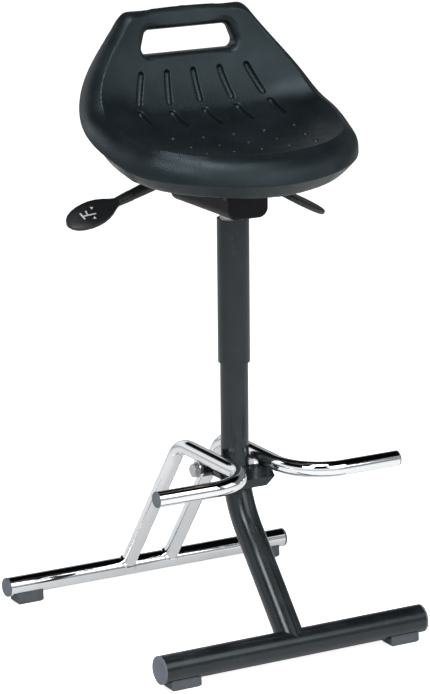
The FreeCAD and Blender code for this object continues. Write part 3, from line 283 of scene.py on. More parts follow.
@dataclass(frozen=True)
class Finish:
    """What every finish shares: a name, a colour, and how it shines."""

    name: str
    colour: str
    roughness: float = 0.5
    metallic: float = 0.0
    ior: float = 1.5
    sheen_tint: str = "#ffffff"
    gloss: float = 0.5

    def base(self) -> tuple[Material, NodeTree, Node]:
        """Start the material.

        Returns:
            The material, its tree and its shader.
        """
        material = bpy.data.materials.new(self.name)
        tree = empty_tree(material)
        shader = add(tree, "BsdfPrincipled", {
            "Base Color": linear(self.colour), "Roughness": self.roughness, "Metallic": self.metallic,
            "IOR": self.ior, "Specular Tint": linear(self.sheen_tint), "Specular IOR Level": self.gloss})
        add(tree, "OutputMaterial", {"Surface": shader})
        material.diffuse_color = linear(self.colour)
        return material, tree, shader

    def paler(self, times: float) -> tuple[float, float, float, float]:
        """The finish's colour, some times as bright."""
        red, green, blue = (min(1.0, channel * times) for channel in linear(self.colour)[:3])
        return red, green, blue, 1.0

    def place(self, tree: NodeTree) -> NodeSocket:
        """Where on the piece a point lies, in metres."""
        return add(tree, "TexCoord").outputs["Object"]

    def noise(self, tree: NodeTree, size_mm: float, detail: float = 2.0) -> NodeSocket:
        """Noise whose patches are about a size in millimetres."""
        return add(tree, "TexNoise", {"Vector": self.place(tree), "Scale": 1 / (size_mm * MM),
                                      "Detail": detail}).outputs["Fac"]

    def strokes(self, tree: NodeTree, per_metre: tuple[float, float, float], detail: float) -> NodeSocket:
        """Noise drawn out along one axis.

        Args:
            tree: The node tree.
            per_metre: How many patches fit in a metre along each axis.
            detail: How much finer noise is added.

        Returns:
            The pattern, from 0 to 1.
        """
        stretched = add(tree, "Mapping", {"Vector": self.place(tree), "Scale": per_metre})
        return add(tree, "TexNoise", {"Vector": stretched, "Scale": 1.0, "Detail": detail}).outputs["Fac"]

    def bump(self, tree: NodeTree, shader: Node, height: NodeSocket, depth_mm: float,
             strength: float = 1.0) -> None:
        """Raise the surface by a pattern.

        Args:
            tree: The node tree.
            shader: The shader that gets the bump.
            height: The pattern, from 0 to 1.
            depth_mm: Height of the pattern.
            strength: How much of it counts.
        """
        made = add(tree, "Bump", {"Height": height, "Distance": depth_mm * MM, "Strength": strength})
        tree.links.new(made.outputs["Normal"], shader.inputs["Normal"])

    def uneven(self, tree: NodeTree, shader: Node, pattern: NodeSocket, span: tuple[float, float],
               less: float, more: float) -> None:
        """Let the roughness follow a pattern.

        Args:
            tree: The node tree.
            shader: The shader whose roughness varies.
            pattern: What it follows.
            span: The pattern's values at the two ends of the variation.
            less: How much smoother than the finish it gets.
            more: How much rougher it gets.
        """
        varied = add(tree, "MapRange", {
            "Value": pattern, "From Min": span[0], "From Max": span[1],
            "To Min": self.roughness - less, "To Max": self.roughness + more})
        tree.links.new(varied.outputs["Result"], shader.inputs["Roughness"])

    def material(self) -> Material:
        """Make the material. Each finish has its own way."""
        raise NotImplementedError


@dataclass(frozen=True)
class PadPrint(Finish):
    """Printing ink on plastic: matt and white, with the slightly uneven skin of dried ink."""

    skin_mm: float = 0.9
    depth_mm: float = 0.03

    def material(self) -> Material:
        """Make the material.

        Returns:
            White ink.
        """
        material, tree, shader = self.base()
        self.bump(tree, shader, self.noise(tree, self.skin_mm), self.depth_mm)
        return material


@dataclass(frozen=True)
class PowderCoat(Finish):
    """Epoxy powder coat baked on steel: an even satin black with a faint orange peel."""

    # Drawn coarser than the peel of real powder coat so that it shows
    peel_mm: float = 2.2
    peel_depth_mm: float = 0.012
    dust_mm: float = 40.0
    dust_brightness: float = 2.2
    patch_mm: float = 14.0

    def material(self) -> Material:
        """Make the material.

        Returns:
            Black with a breath of dust, whose shine is nearly even.
        """
        material, tree, shader = self.base()
        tone = ramp(tree, self.noise(tree, self.dust_mm),
                    [(0.35, linear(self.colour)), (0.75, self.paler(self.dust_brightness))])
        tree.links.new(tone, shader.inputs["Base Color"])
        self.uneven(tree, shader, self.noise(tree, self.patch_mm), (0.3, 0.7), 0.02, 0.03)
        self.bump(tree, shader, self.noise(tree, self.peel_mm, 1.0), self.peel_depth_mm)
        return material


@dataclass(frozen=True)
class BrightChrome(Finish):
    """Nickel and chromium plate on drawn steel tube: mirror bright, with the faintest wave of the drawing."""

    haze_mm: float = 9.0
    wave_mm: float = 30.0
    wave_depth_mm: float = 0.08

    def material(self) -> Material:
        """Make the material.

        Returns:
            A mirror with a slight haze and a slow wave.
        """
        material, tree, shader = self.base()
        self.uneven(tree, shader, self.noise(tree, self.haze_mm, 4.0), (0.35, 0.75), 0.0, 0.05)
        self.bump(tree, shader, self.noise(tree, self.wave_mm), self.wave_depth_mm, 0.5)
        return material


@dataclass(frozen=True)
class SkinnedFoam(Finish):
    """Integral skin polyurethane moulded in a textured tool: a soft satin black with fine raised pips."""

    # Drawn coarser than the fine lines that such a mould leaves so that they show
    pitch_mm: float = 2.9
    roll: float = 35.0
    lean: float = 38.0
    depth_mm: float = 0.19
    pore_mm: float = 0.8
    pore_share: float = 0.35
    cloud_mm: float = 60.0
    cloud_colour: str = "#14191c"
    wear_mm: float = 25.0

    def ribs(self, tree: NodeTree, lean: float) -> NodeSocket:
        """Fine parallel ribs.

        Args:
            tree: The node tree.
            lean: Their slope in degrees.

        Returns:
            Height of the ribs, from 0 to 1.
        """
        turned = add(tree, "Mapping", {
            "Vector": self.place(tree), "Rotation": (math.radians(self.roll), math.radians(lean), 0)})
        # A band texture at scale 1 repeats every 2 pi / 20 metres
        return add(tree, "TexWave", {
            "Vector": turned, "Distortion": 0.0, "Scale": 2 * math.pi / (20 * self.pitch_mm * MM)},
            wave_type="BANDS", bands_direction="X").outputs["Fac"]

    def material(self) -> Material:
        """Make the material.

        Returns:
            Cool black whose two crossing sets of ribs leave the small diamonds that the mould gives.
        """
        material, tree, shader = self.base()
        pips = add(tree, "Math", {0: self.ribs(tree, self.lean), 1: self.ribs(tree, -self.lean)},
                   operation="MULTIPLY").outputs[0]
        pores = self.noise(tree, self.pore_mm)
        skin = add(tree, "Math", {0: pores, 1: self.pore_share, 2: pips},
                   operation="MULTIPLY_ADD").outputs[0]
        tone = ramp(tree, self.noise(tree, self.cloud_mm, 3.0),
                    [(0.3, linear(self.colour)), (0.75, linear(self.cloud_colour))])
        tree.links.new(tone, shader.inputs["Base Color"])
        self.uneven(tree, shader, self.noise(tree, self.wear_mm, 3.0), (0.3, 0.7), 0.04, 0.08)
        self.bump(tree, shader, skin, self.depth_mm)
        return material


@dataclass(frozen=True)
class MouldedPlastic(Finish):
    """Glass filled nylon or polypropylene from a spark eroded mould: matt, with an even fine grain."""

    grain_mm: float = 0.7
    grain_depth_mm: float = 0.04
    flow_mm: float = 18.0
    flow_brightness: float = 1.25

    def material(self) -> Material:
        """Make the material.

        Returns:
            Matt plastic, a little paler where it flowed last.
        """
        material, tree, shader = self.base()
        tone = ramp(tree, self.noise(tree, self.flow_mm),
                    [(0.35, linear(self.colour)), (0.8, self.paler(self.flow_brightness))])
        tree.links.new(tone, shader.inputs["Base Color"])
        self.bump(tree, shader, self.noise(tree, self.grain_mm, 3.0), self.grain_depth_mm)
        return material


@dataclass(frozen=True)
class PlatedSteel(Finish):
    """Bright zinc plate on turned steel: greyish, brushed by the tool round its axis."""

    per_metre: tuple[float, float, float] = (900.0, 120.0, 900.0)
    depth_mm: float = 0.02

    def material(self) -> Material:
        """Make the material.

        Returns:
            Grey metal with the fine marks of the lathe.
        """
        material, tree, shader = self.base()
        marks = self.strokes(tree, self.per_metre, 3.0)
        self.uneven(tree, shader, marks, (0.3, 0.7), 0.08, 0.1)
        self.bump(tree, shader, marks, self.depth_mm)
        return material


@dataclass(frozen=True)
class BirchPly(Finish):
    """Birch plywood, sawn and sanded: pale, with long grain and thin darker pores."""

    per_metre: tuple[float, float, float] = (220.0, 22.0, 220.0)
    pore_colour: str = "#8f6f47"
    depth_mm: float = 0.05

    def material(self) -> Material:
        """Make the material.

        Returns:
            Pale wood with its grain along Y.
        """
        material, tree, shader = self.base()
        grain = self.strokes(tree, self.per_metre, 5.0)
        tone = ramp(tree, grain, [(0.35, linear(self.pore_colour)), (0.6, linear(self.colour))])
        tree.links.new(tone, shader.inputs["Base Color"])
        self.bump(tree, shader, grain, self.depth_mm)
        return material


class Finishes(Enum):
    """The finishes of the stool, each named for the real material."""

    # Smooth enough that a lamp draws one soft bright line along each black tube
    POWDER = PowderCoat("satin_black_powder_coat", "#121517", 0.23, 0.0, 1.5, "#e8f4f8")
    # Thin paint with next to no shine, and a black darker than the powder coat that paints in the shade under
    # the seat, so the housing stays dark beside the shining tubes
    MATT_PAINT_PAINTED_SHADE = PowderCoat("matt_black_paint_painted_shade", "#0b0d0e", 0.45, 0.0, 1.5, "#eef4fb", 0.16)
    # Mirrors the white room and its dark ceiling in long streaks
    CHROME = BrightChrome("bright_chrome_plate", "#e6e8ea", 0.04, 1.0)
    # Cool black, with a soft sheen where the rim turns to the light
    FOAM = SkinnedFoam("integral_skin_polyurethane", "#0a0e11", 0.35, 0.0, 1.5, "#d2edf6", 0.36)
    # Plain black handles that shine less than the black tubes
    LEVER = MouldedPlastic("glass_filled_nylon", "#1a1d1f", 0.42)
    # Blue grey ends of the foot bars and footrests, matt beside the tubes
    CAP = MouldedPlastic("polypropylene_cap", "#565d66", 0.55, grain_mm=1.1, grain_depth_mm=0.06)
    # Dull grey feet
    PAD = MouldedPlastic("rubber_foot_pad", "#4a5055", 0.7, grain_mm=1.6, grain_depth_mm=0.08)
    # Even black of the guides in the column and the pivot
    ACETAL = MouldedPlastic("black_acetal_guide", "#1c1e20", 0.4)
    # Light grey bolts and pins
    ZINC = PlatedSteel("zinc_plated_steel", "#b4b6b6", 0.3, 1.0)
    # The pale board inside the seat
    PLYWOOD = BirchPly("birch_plywood", "#c9a877", 0.6)
    # The white sign on the tilt handle
    PRINT = PadPrint("white_pad_print", "#d9dcdc", 0.5)

    def made(self) -> Material:
        """The material of a finish, made once."""
        return bpy.data.materials.get(self.value.name) or self.value.material()


# Frame

@dataclass
class SteelWork:
    """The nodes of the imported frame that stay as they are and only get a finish."""

    finishes: dict[Finishes, tuple[str, ...]] = field(default_factory=lambda: {
        Finishes.POWDER: ("post_leg_tube", "front_foot_bar", "stop_bracket", "pivot_lug", "outer_sleeve",
                          "tilt_pin", "taper_socket", "lever_bracket", "seat_plate",
                          "gas_spring_cylinder"),
        # The housing's darker black is painted shade from the seat above it
        Finishes.MATT_PAINT_PAINTED_SHADE: ("mechanism_housing",),
        Finishes.CHROME: ("left_footrest_tube", "right_footrest_tube", "rear_foot_bar", "left_frame_ear",
                          "right_frame_ear"),
        Finishes.ZINC: ("pivot_bolt", "pivot_nut", "pivot_washers", "front_pad_screws", "rear_pad_screws",
                        "seat_screws", "gas_spring_rod", "rod_washer", "rod_clip", "thrust_bearing",
                        "spring_support", "height_rod", "tilt_clamp_bolt", "tilt_clamp_nut",
                        "release_button", "sleeve_collar"),
        Finishes.ACETAL: ("pivot_bushes", "post_top_guide", "sleeve_guide_bush"),
        Finishes.CAP: ("front_bar_caps", "rear_bar_caps", "footrest_caps"),
        Finishes.PAD: ("front_floor_pads", "rear_floor_pads"),
        Finishes.PLYWOOD: ("seat_insert",),
    })

    def build(self) -> None:
        """Dress each node."""
        for finish, names in self.finishes.items():
            for name in names:
                node = frame["nodes"][name]
                dress(node, finish.made())
                LOG.info("dressed %s", name)


# Seat

@dataclass
class Seat:
    """The moulded seat: a closed skin through rows of points, with dish, hand hole, grooves and dots.

    Its numbers are millimetres from the floor and from the post's axis. Each row runs from the front to the
    top of the back on the right, and is mirrored to the left.
    """

    # Where the post's axis stands in the frame, in metres
    post_y: float
    # The outer edge, as side, depth and height
    edge: tuple = ((0, -157, 721), (50, -151, 722), (97, -136, 725), (133, -112, 727), (163, -84, 730),
                   (187, -48, 736), (200, -10, 748), (207, 26, 761), (208, 62, 776), (202, 95, 796),
                   (188, 121, 825), (163, 140, 861), (136, 147, 895), (116, 149, 921), (101, 150, 936),
                   (76, 150, 937.6), (52, 150, 938.8), (0, 150, 940))
    # Where the rim ends and the dish begins
    crease: tuple = ((0, -120, 760), (42, -117, 761), (80, -110, 763), (110, -99, 766), (136, -81, 769),
                     (157, -60, 773), (169, -26, 779), (177, 6, 787), (179, 34, 796), (177, 61, 809),
                     (168, 90, 833), (145, 113, 870), (125, 121, 896), (109, 125, 915), (95, 128, 928),
                     (72, 133.5, 930.8), (48, 138, 932.6), (0, 140, 933))
    # The dish's middle line, as depth and height. Shares below are shares of its length
    dish_line: tuple = ((-120, 760), (-87, 762), (-48, 765), (-5, 770), (37, 780), (65, 786), (84, 795),
                        (97, 809), (107, 826), (118, 851), (129, 890), (140, 933))
    # Share, half width there, and how far the dish rises to that width
    dish_sides: tuple = ((0.0, 100, 4), (0.1, 130, 6), (0.2, 160, 10), (0.32, 175, 14), (0.44, 179, 17),
                         (0.54, 177, 20), (0.64, 168, 19), (0.76, 145, 12), (0.86, 125, 9), (0.94, 109, 9),
                         (1.0, 95, 9))
    dish_power: float = 2.6
    dish_middle: float = 0.42
    dish_rings: tuple = (0.97, 0.03, 40)
    tangent_share: float = 0.002
    # The underside's flat and the heel round it, as shares of the edge: side, depth in front and behind
    flat: tuple = (0.68, 0.8, 0.66)
    heel: tuple = (0.92, 0.9, 1.01)
    # How far the heel lies below the edge in front, and how much less at the top of the back
    heel_drop: float = 18.0
    heel_rise: float = 8.0
    underside: float = 705.0
    # Rows between flat and heel, how they fan out, and how they bulge more and more towards the back
    belly_shares: tuple = (0.34, 0.67)
    belly_fan: float = 90.0
    belly_bulge: float = 0.11
    belly_gain: float = 1.8
    belly_delay: float = 0.3
    # The same between edge and crease, where the bulge fades towards the back
    rim_shares: tuple = (0.35, 0.7)
    rim_fan: float = 170.0
    rim_bulge: float = 0.18
    rim_fade: float = 0.12
    under_rings: int = 36
    rim_rings: int = 18
    # Grooves: share at each end, then how far out each end of the outer ones is, in half widths. They are
    # sunk along the push, and the dots are lifted by a share of their radius so that they cut less
    groove_rows: tuple = ((0.752, 0.626, 0.43, 0.505), (0.57, 0.446, 0.53, 0.53))
    # Dots: share, then how far out the outer ones are
    dot_rows: tuple = ((0.32, 0.49), (0.2, 0.46), (0.092, 0.435))
    columns: int = 2
    half_width: float = 208.0
    groove_radius: float = 4.8
    groove_push: tuple = (0.0, 0.5, -0.86)
    groove_sunk: float = 0.8
    groove_sides: int = 14
    dot_radius: float = 4.2
    dot_lift: float = 0.1
    # Hand hole: half widths at its bottom and top, then their heights
    hole: tuple = (84.0, 69.0, 873.0, 908.5)
    hole_corner: float = 10.0
    hole_lip: float = 12.0
    hole_back: float = 150.0
    hole_reach: float = 40.0
    lip_start: float = 0.25
    # The lip behind is this share of the one in front
    back_lip: float = 0.45
    face_rise: float = 10.0
    face_half: float = 120.0
    # Room for the plywood insert with a little clearance: half width, front, back, then bottom and top
    insert: tuple = (100.6, 75.6, 85.6, 690.0, 714.3)
    around: int = 320
    voxel_mm: float = 1.25

    def dish_point(self, x: float, share: float) -> np.ndarray:
        """Find a point of the dish.

        Args:
            x: Distance from the middle in millimetres.
            share: Share of the dish's middle line, from its front to the top of the back.

        Returns:
            The point in millimetres.
        """
        line = np.array(self.dish_line, float)
        runs = runs_along(line)
        inside = min(max(share, 0.0), 1.0)
        step = self.tangent_share
        at = np.array([inside, min(inside + step, 1.0), max(inside - step, 0.0)]) * runs[-1]
        here, ahead, behind = spline(runs, line, at)
        along = unit(ahead - behind)
        here = here + along * (share - inside) * runs[-1]
        marks = [row[0] for row in self.dish_sides]
        width = np.interp(inside, marks, [row[1] for row in self.dish_sides])
        rise = np.interp(inside, marks, [row[2] for row in self.dish_sides])
        lift = rise * (abs(x) / width) ** self.dish_power
        return np.array([x, here[0] - along[1] * lift, here[1] + along[0] * lift])

    def share_near(self, spot: np.ndarray) -> float:
        """The share at which the dish passes closest to a point."""
        return min(np.linspace(0, 1, 201),
                   key=lambda share: np.linalg.norm(self.dish_point(spot[0], share) - spot))

    def bulged(self, start: np.ndarray, end: np.ndarray, share: float, outward: Sequence[float],
               bulge: float) -> np.ndarray:
        """Find a point part way between two others, pushed out sideways.

        Args:
            start: The first point.
            end: The second point.
            share: How far it is from the first to the second.
            outward: Roughly where it is pushed to.
            bulge: How far, as a share of their distance, in the middle between them.

        Returns:
            The point in millimetres.
        """
        chord = end - start
        length = float(np.linalg.norm(chord))
        along = chord / length
        side = np.array(outward, float)
        side = unit(side - along * side.dot(along))
        return start + chord * share + side * (bulge * length * 4 * share * (1 - share))

    def skin_rows(self) -> tuple[list, list, list]:
        """Work out the rows that the skin passes through.

        Returns:
            The rows of the underside, of the rim and of the dish.
        """
        edge = np.array(self.edge, float)
        last = len(edge) - 1
        side, front, back = self.flat
        flat = [np.array([side * x, y * (front if y < 0 else back), self.underside]) for x, y, _ in edge]
        side, front, back = self.heel
        heel = [np.array([side * x, y * (front if y < 0 else back),
                          z - self.heel_drop + self.heel_rise * number / last])
                for number, (x, y, z) in enumerate(edge)]
        under = [flat]
        for share in self.belly_shares:
            under.append([self.bulged(
                start, end, share, (start[0] / self.belly_fan, 1, -1),
                self.belly_bulge * min(1, max(0, self.belly_gain * number / last - self.belly_delay)))
                for number, (start, end) in enumerate(zip(flat, heel))])
        under += [heel, list(edge)]
        drawn = np.array(self.crease, float)
        shares = [self.share_near(spot) for spot in drawn]
        # The crease is moved onto the dish, so that the rim meets it without a step
        crease = [self.dish_point(spot[0], share) for spot, share in zip(drawn, shares)]
        rim = [list(edge)]
        for share in self.rim_shares:
            rim.append([self.bulged(start, end, share, (start[0] / self.rim_fan, -1, 1),
                                    self.rim_bulge - self.rim_fade * number / last)
                        for number, (start, end) in enumerate(zip(edge, crease))])
        rim.append(crease)
        middle = self.dish_middle
        dish = [[self.dish_point(t * spot[0], middle + t * (share - middle))
                 for spot, share in zip(crease, shares)] for t in np.linspace(*self.dish_rings)]
        return under, rim, dish

    def mirrored(self, row: Sequence[np.ndarray]) -> np.ndarray:
        """A row with its mirror image, both ends of which lie in the middle and count once."""
        row = np.array(row)
        return np.vstack([row, row[-2:0:-1] * np.array([-1.0, 1.0, 1.0])])

    def closed(self, row: Sequence[np.ndarray], marks: np.ndarray) -> np.ndarray:
        """Spread points all round a row and its mirror image.

        Args:
            row: The row's points.
            marks: Where each point of the closed line lies, from 0 to 1.

        Returns:
            The ring in millimetres.
        """
        at = np.linspace(0, 1, self.around, endpoint=False)
        return spline(marks, self.mirrored(row), at, closed=True)

    def skin(self) -> Object:
        """Make the closed skin, before anything is cut from it.

        Returns:
            The skin.
        """
        under, rim, dish = self.skin_rows()
        ring = self.mirrored(under[-1])
        marks = runs_along(np.vstack([ring, ring[:1]]))
        marks = marks / marks[-1]
        rings = []
        for band, steps in ((under, self.under_rings), (rim, self.rim_rings)):
            rows = np.array([self.closed(row, marks) for row in band])
            spans = np.linalg.norm(np.diff(rows, axis=0), axis=2).mean(axis=1)
            down = np.concatenate([[0], np.cumsum(spans)])
            at = np.linspace(0, down[-1], steps)
            spread = spline(down, rows.reshape(len(band), -1), at).reshape(steps, self.around, 3)
            # The rim starts with the ring that ends the underside
            rings += list(spread[(0 if band is under else 1):])
        rings += [self.closed(row, marks) for row in dish]
        return tube_of_rings("seat_skin", rings)

    def window_outline(self, grown: float) -> list[tuple[float, float]]:
        """Draw the hand hole's outline across the back, grown all round.

        Args:
            grown: How far it grows, in millimetres.

        Returns:
            Points as side and height.
        """
        low, high, bottom, top = self.hole
        corners = [(-low, bottom), (low, bottom), (high, top), (-high, top)]
        outline = []
        for number, corner in enumerate(corners):
            here = np.array(corner)
            before = unit(np.array(corners[number - 1]) - here)
            after = unit(np.array(corners[(number + 1) % 4]) - here)
            half = math.acos(float(before.dot(after))) / 2
            centre = here + unit(before + after) * self.hole_corner / math.sin(half)
            first = here + before * self.hole_corner / math.tan(half) - centre
            final = here + after * self.hole_corner / math.tan(half) - centre
            turn = math.atan2(first[0] * final[1] - first[1] * final[0], first.dot(final))
            begin = math.atan2(first[1], first[0])
            radius = self.hole_corner + grown
            for share in np.linspace(0, 1, 9):
                angle = begin + turn * share
                outline.append(tuple(centre + radius * np.array([math.cos(angle), math.sin(angle)])))
        return outline

    def face(self, x: float, z: float) -> float:
        """Find the depth of the back's front face.

        Args:
            x: Distance from the middle in millimetres.
            z: Height in millimetres.

        Returns:
            The depth in millimetres.
        """
        depths, heights = np.array(self.dish_line[-4:], float).T
        rise = self.face_rise * (abs(x) / self.face_half) ** self.dish_power
        return float(np.interp(z, heights, depths)) - rise

    def cutter_window(self) -> Object:
        """Make the hand hole as a solid, flared at both faces so that its lips come out rounded.

        Returns:
            The solid.
        """
        lip = self.hole_lip
        sections = [(-self.hole_reach, lip), (0.0, lip)]
        sections += [(lip - lip * math.cos(angle), lip - lip * math.sin(angle))
                     for angle in np.linspace(self.lip_start, math.pi / 2, 6)]
        rings = [np.array([(x, self.face(x, z) + depth, z) for x, z in self.window_outline(grown)])
                 for depth, grown in sections]
        for depth, grown in reversed(sections):
            size = self.back_lip if depth > 0 else 1.0
            rings.append(np.array([(x, self.hole_back - depth * size, z)
                                   for x, z in self.window_outline(grown * size)]))
        return tube_of_rings("hand_hole", rings)

    def ball(self, middle: np.ndarray, along: np.ndarray, radius: float,
             degrees: Sequence[float]) -> list[tuple[np.ndarray, float, np.ndarray]]:
        """Slice a ball.

        Args:
            middle: Its middle.
            along: The direction across the slices.
            radius: Its radius in millimetres.
            degrees: The latitude of each slice. A pole keeps a tiny radius.

        Returns:
            Middle, radius and direction of each slice.
        """
        turns = [math.radians(angle) for angle in degrees]
        return [(middle + along * radius * math.sin(turn), radius * max(math.cos(turn), 0.02), along)
                for turn in turns]

    def cutter_groove(self, spots: Sequence[np.ndarray], radius: float, name: str) -> Object:
        """Make a channel with round ends along points, or a ball at a single one.

        Args:
            spots: The points, in millimetres.
            radius: The channel's radius.
            name: The object's name.

        Returns:
            The solid.
        """
        if len(spots) == 1:
            first = np.array([0.0, 0.0, 1.0])
            sections = self.ball(spots[0], first, radius, np.linspace(-90, 90, 9))
        else:
            first, last = unit(spots[1] - spots[0]), unit(spots[-1] - spots[-2])
            sections = self.ball(spots[0], first, radius, np.linspace(-90, 0, 5)[:-1])
            for number, spot in enumerate(spots):
                along = spots[min(number + 1, len(spots) - 1)] - spots[max(number - 1, 0)]
                sections.append((spot, radius, unit(along)))
            sections += self.ball(spots[-1], last, radius, np.linspace(0, 90, 5)[1:])
        side = unit(np.cross(first, (1.0, 0.0, 0.0)))
        angles = np.linspace(0, 2 * math.pi, self.groove_sides, endpoint=False)
        rings = []
        for centre, size, along in sections:
            upright = unit(side - along * side.dot(along))
            across = np.cross(along, upright)
            rings.append(np.array([centre + size * (math.cos(angle) * upright + math.sin(angle) * across)
                                   for angle in angles]))
        return tube_of_rings(name, rings)

    def cutters(self) -> list[Object]:
        """Make everything that is cut from the skin.

        Returns:
            The hand hole, the insert's room, the grooves and the dots.
        """
        made = [self.cutter_window()]
        half, front, back, bottom, top = self.insert
        made.append(mesh_of(
            "insert_room", [(x, y, z) for x in (-half, half) for y in (-front, back) for z in (bottom, top)],
            [(0, 1, 3, 2), (4, 6, 7, 5), (0, 4, 5, 1), (2, 3, 7, 6), (0, 2, 6, 4), (1, 5, 7, 3)]))
        places = range(-self.columns, self.columns + 1)
        for start, end, side_start, side_end in self.groove_rows:
            for place in places:
                spots = []
                for t in np.linspace(0, 1, 9):
                    side = place / self.columns * self.half_width * (side_start + (side_end - side_start) * t)
                    spots.append(self.dish_point(side, start + (end - start) * t)
                                 + np.array(self.groove_push) * self.groove_sunk)
                made.append(self.cutter_groove(spots, self.groove_radius, "groove"))
        for share, side in self.dot_rows:
            for place in places:
                spot = self.dish_point(place / self.columns * self.half_width * side, share)
                spot[2] += self.dot_radius * self.dot_lift
                made.append(self.cutter_groove([spot], self.dot_radius, "dot"))
        return made

    def build(self) -> None:
        """Make, cut, soften and dress the seat."""
        seat = self.skin()
        tools = self.cutters()
        for tool in tools:
            cut = seat.modifiers.new(tool.name, "BOOLEAN")
            cut.operation = "DIFFERENCE"
            cut.solver = "EXACT"
            cut.object = tool
        bake_modifiers(seat)
        for tool in tools:
            bpy.data.objects.remove(tool)
        remesh = seat.modifiers.new("even_mesh", "REMESH")
        remesh.mode = "VOXEL"
        remesh.voxel_size = self.voxel_mm * MM
        soften = seat.modifiers.new("soften", "SMOOTH")
        soften.factor = 0.5
        soften.iterations = 2
        bake_modifiers(seat)
        seat.data.transform(Matrix.Translation((0, self.post_y, 0)))
        smooth(seat)
        dress(seat, Finishes.FOAM.made())
        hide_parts("seat_foam")
        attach(seat, "seat")
        LOG.info("seat with %d faces", len(seat.data.polygons))


# Levers

class Side(Enum):
    """Which side of the stool a lever is on."""

    LEFT = -1
    RIGHT = 1


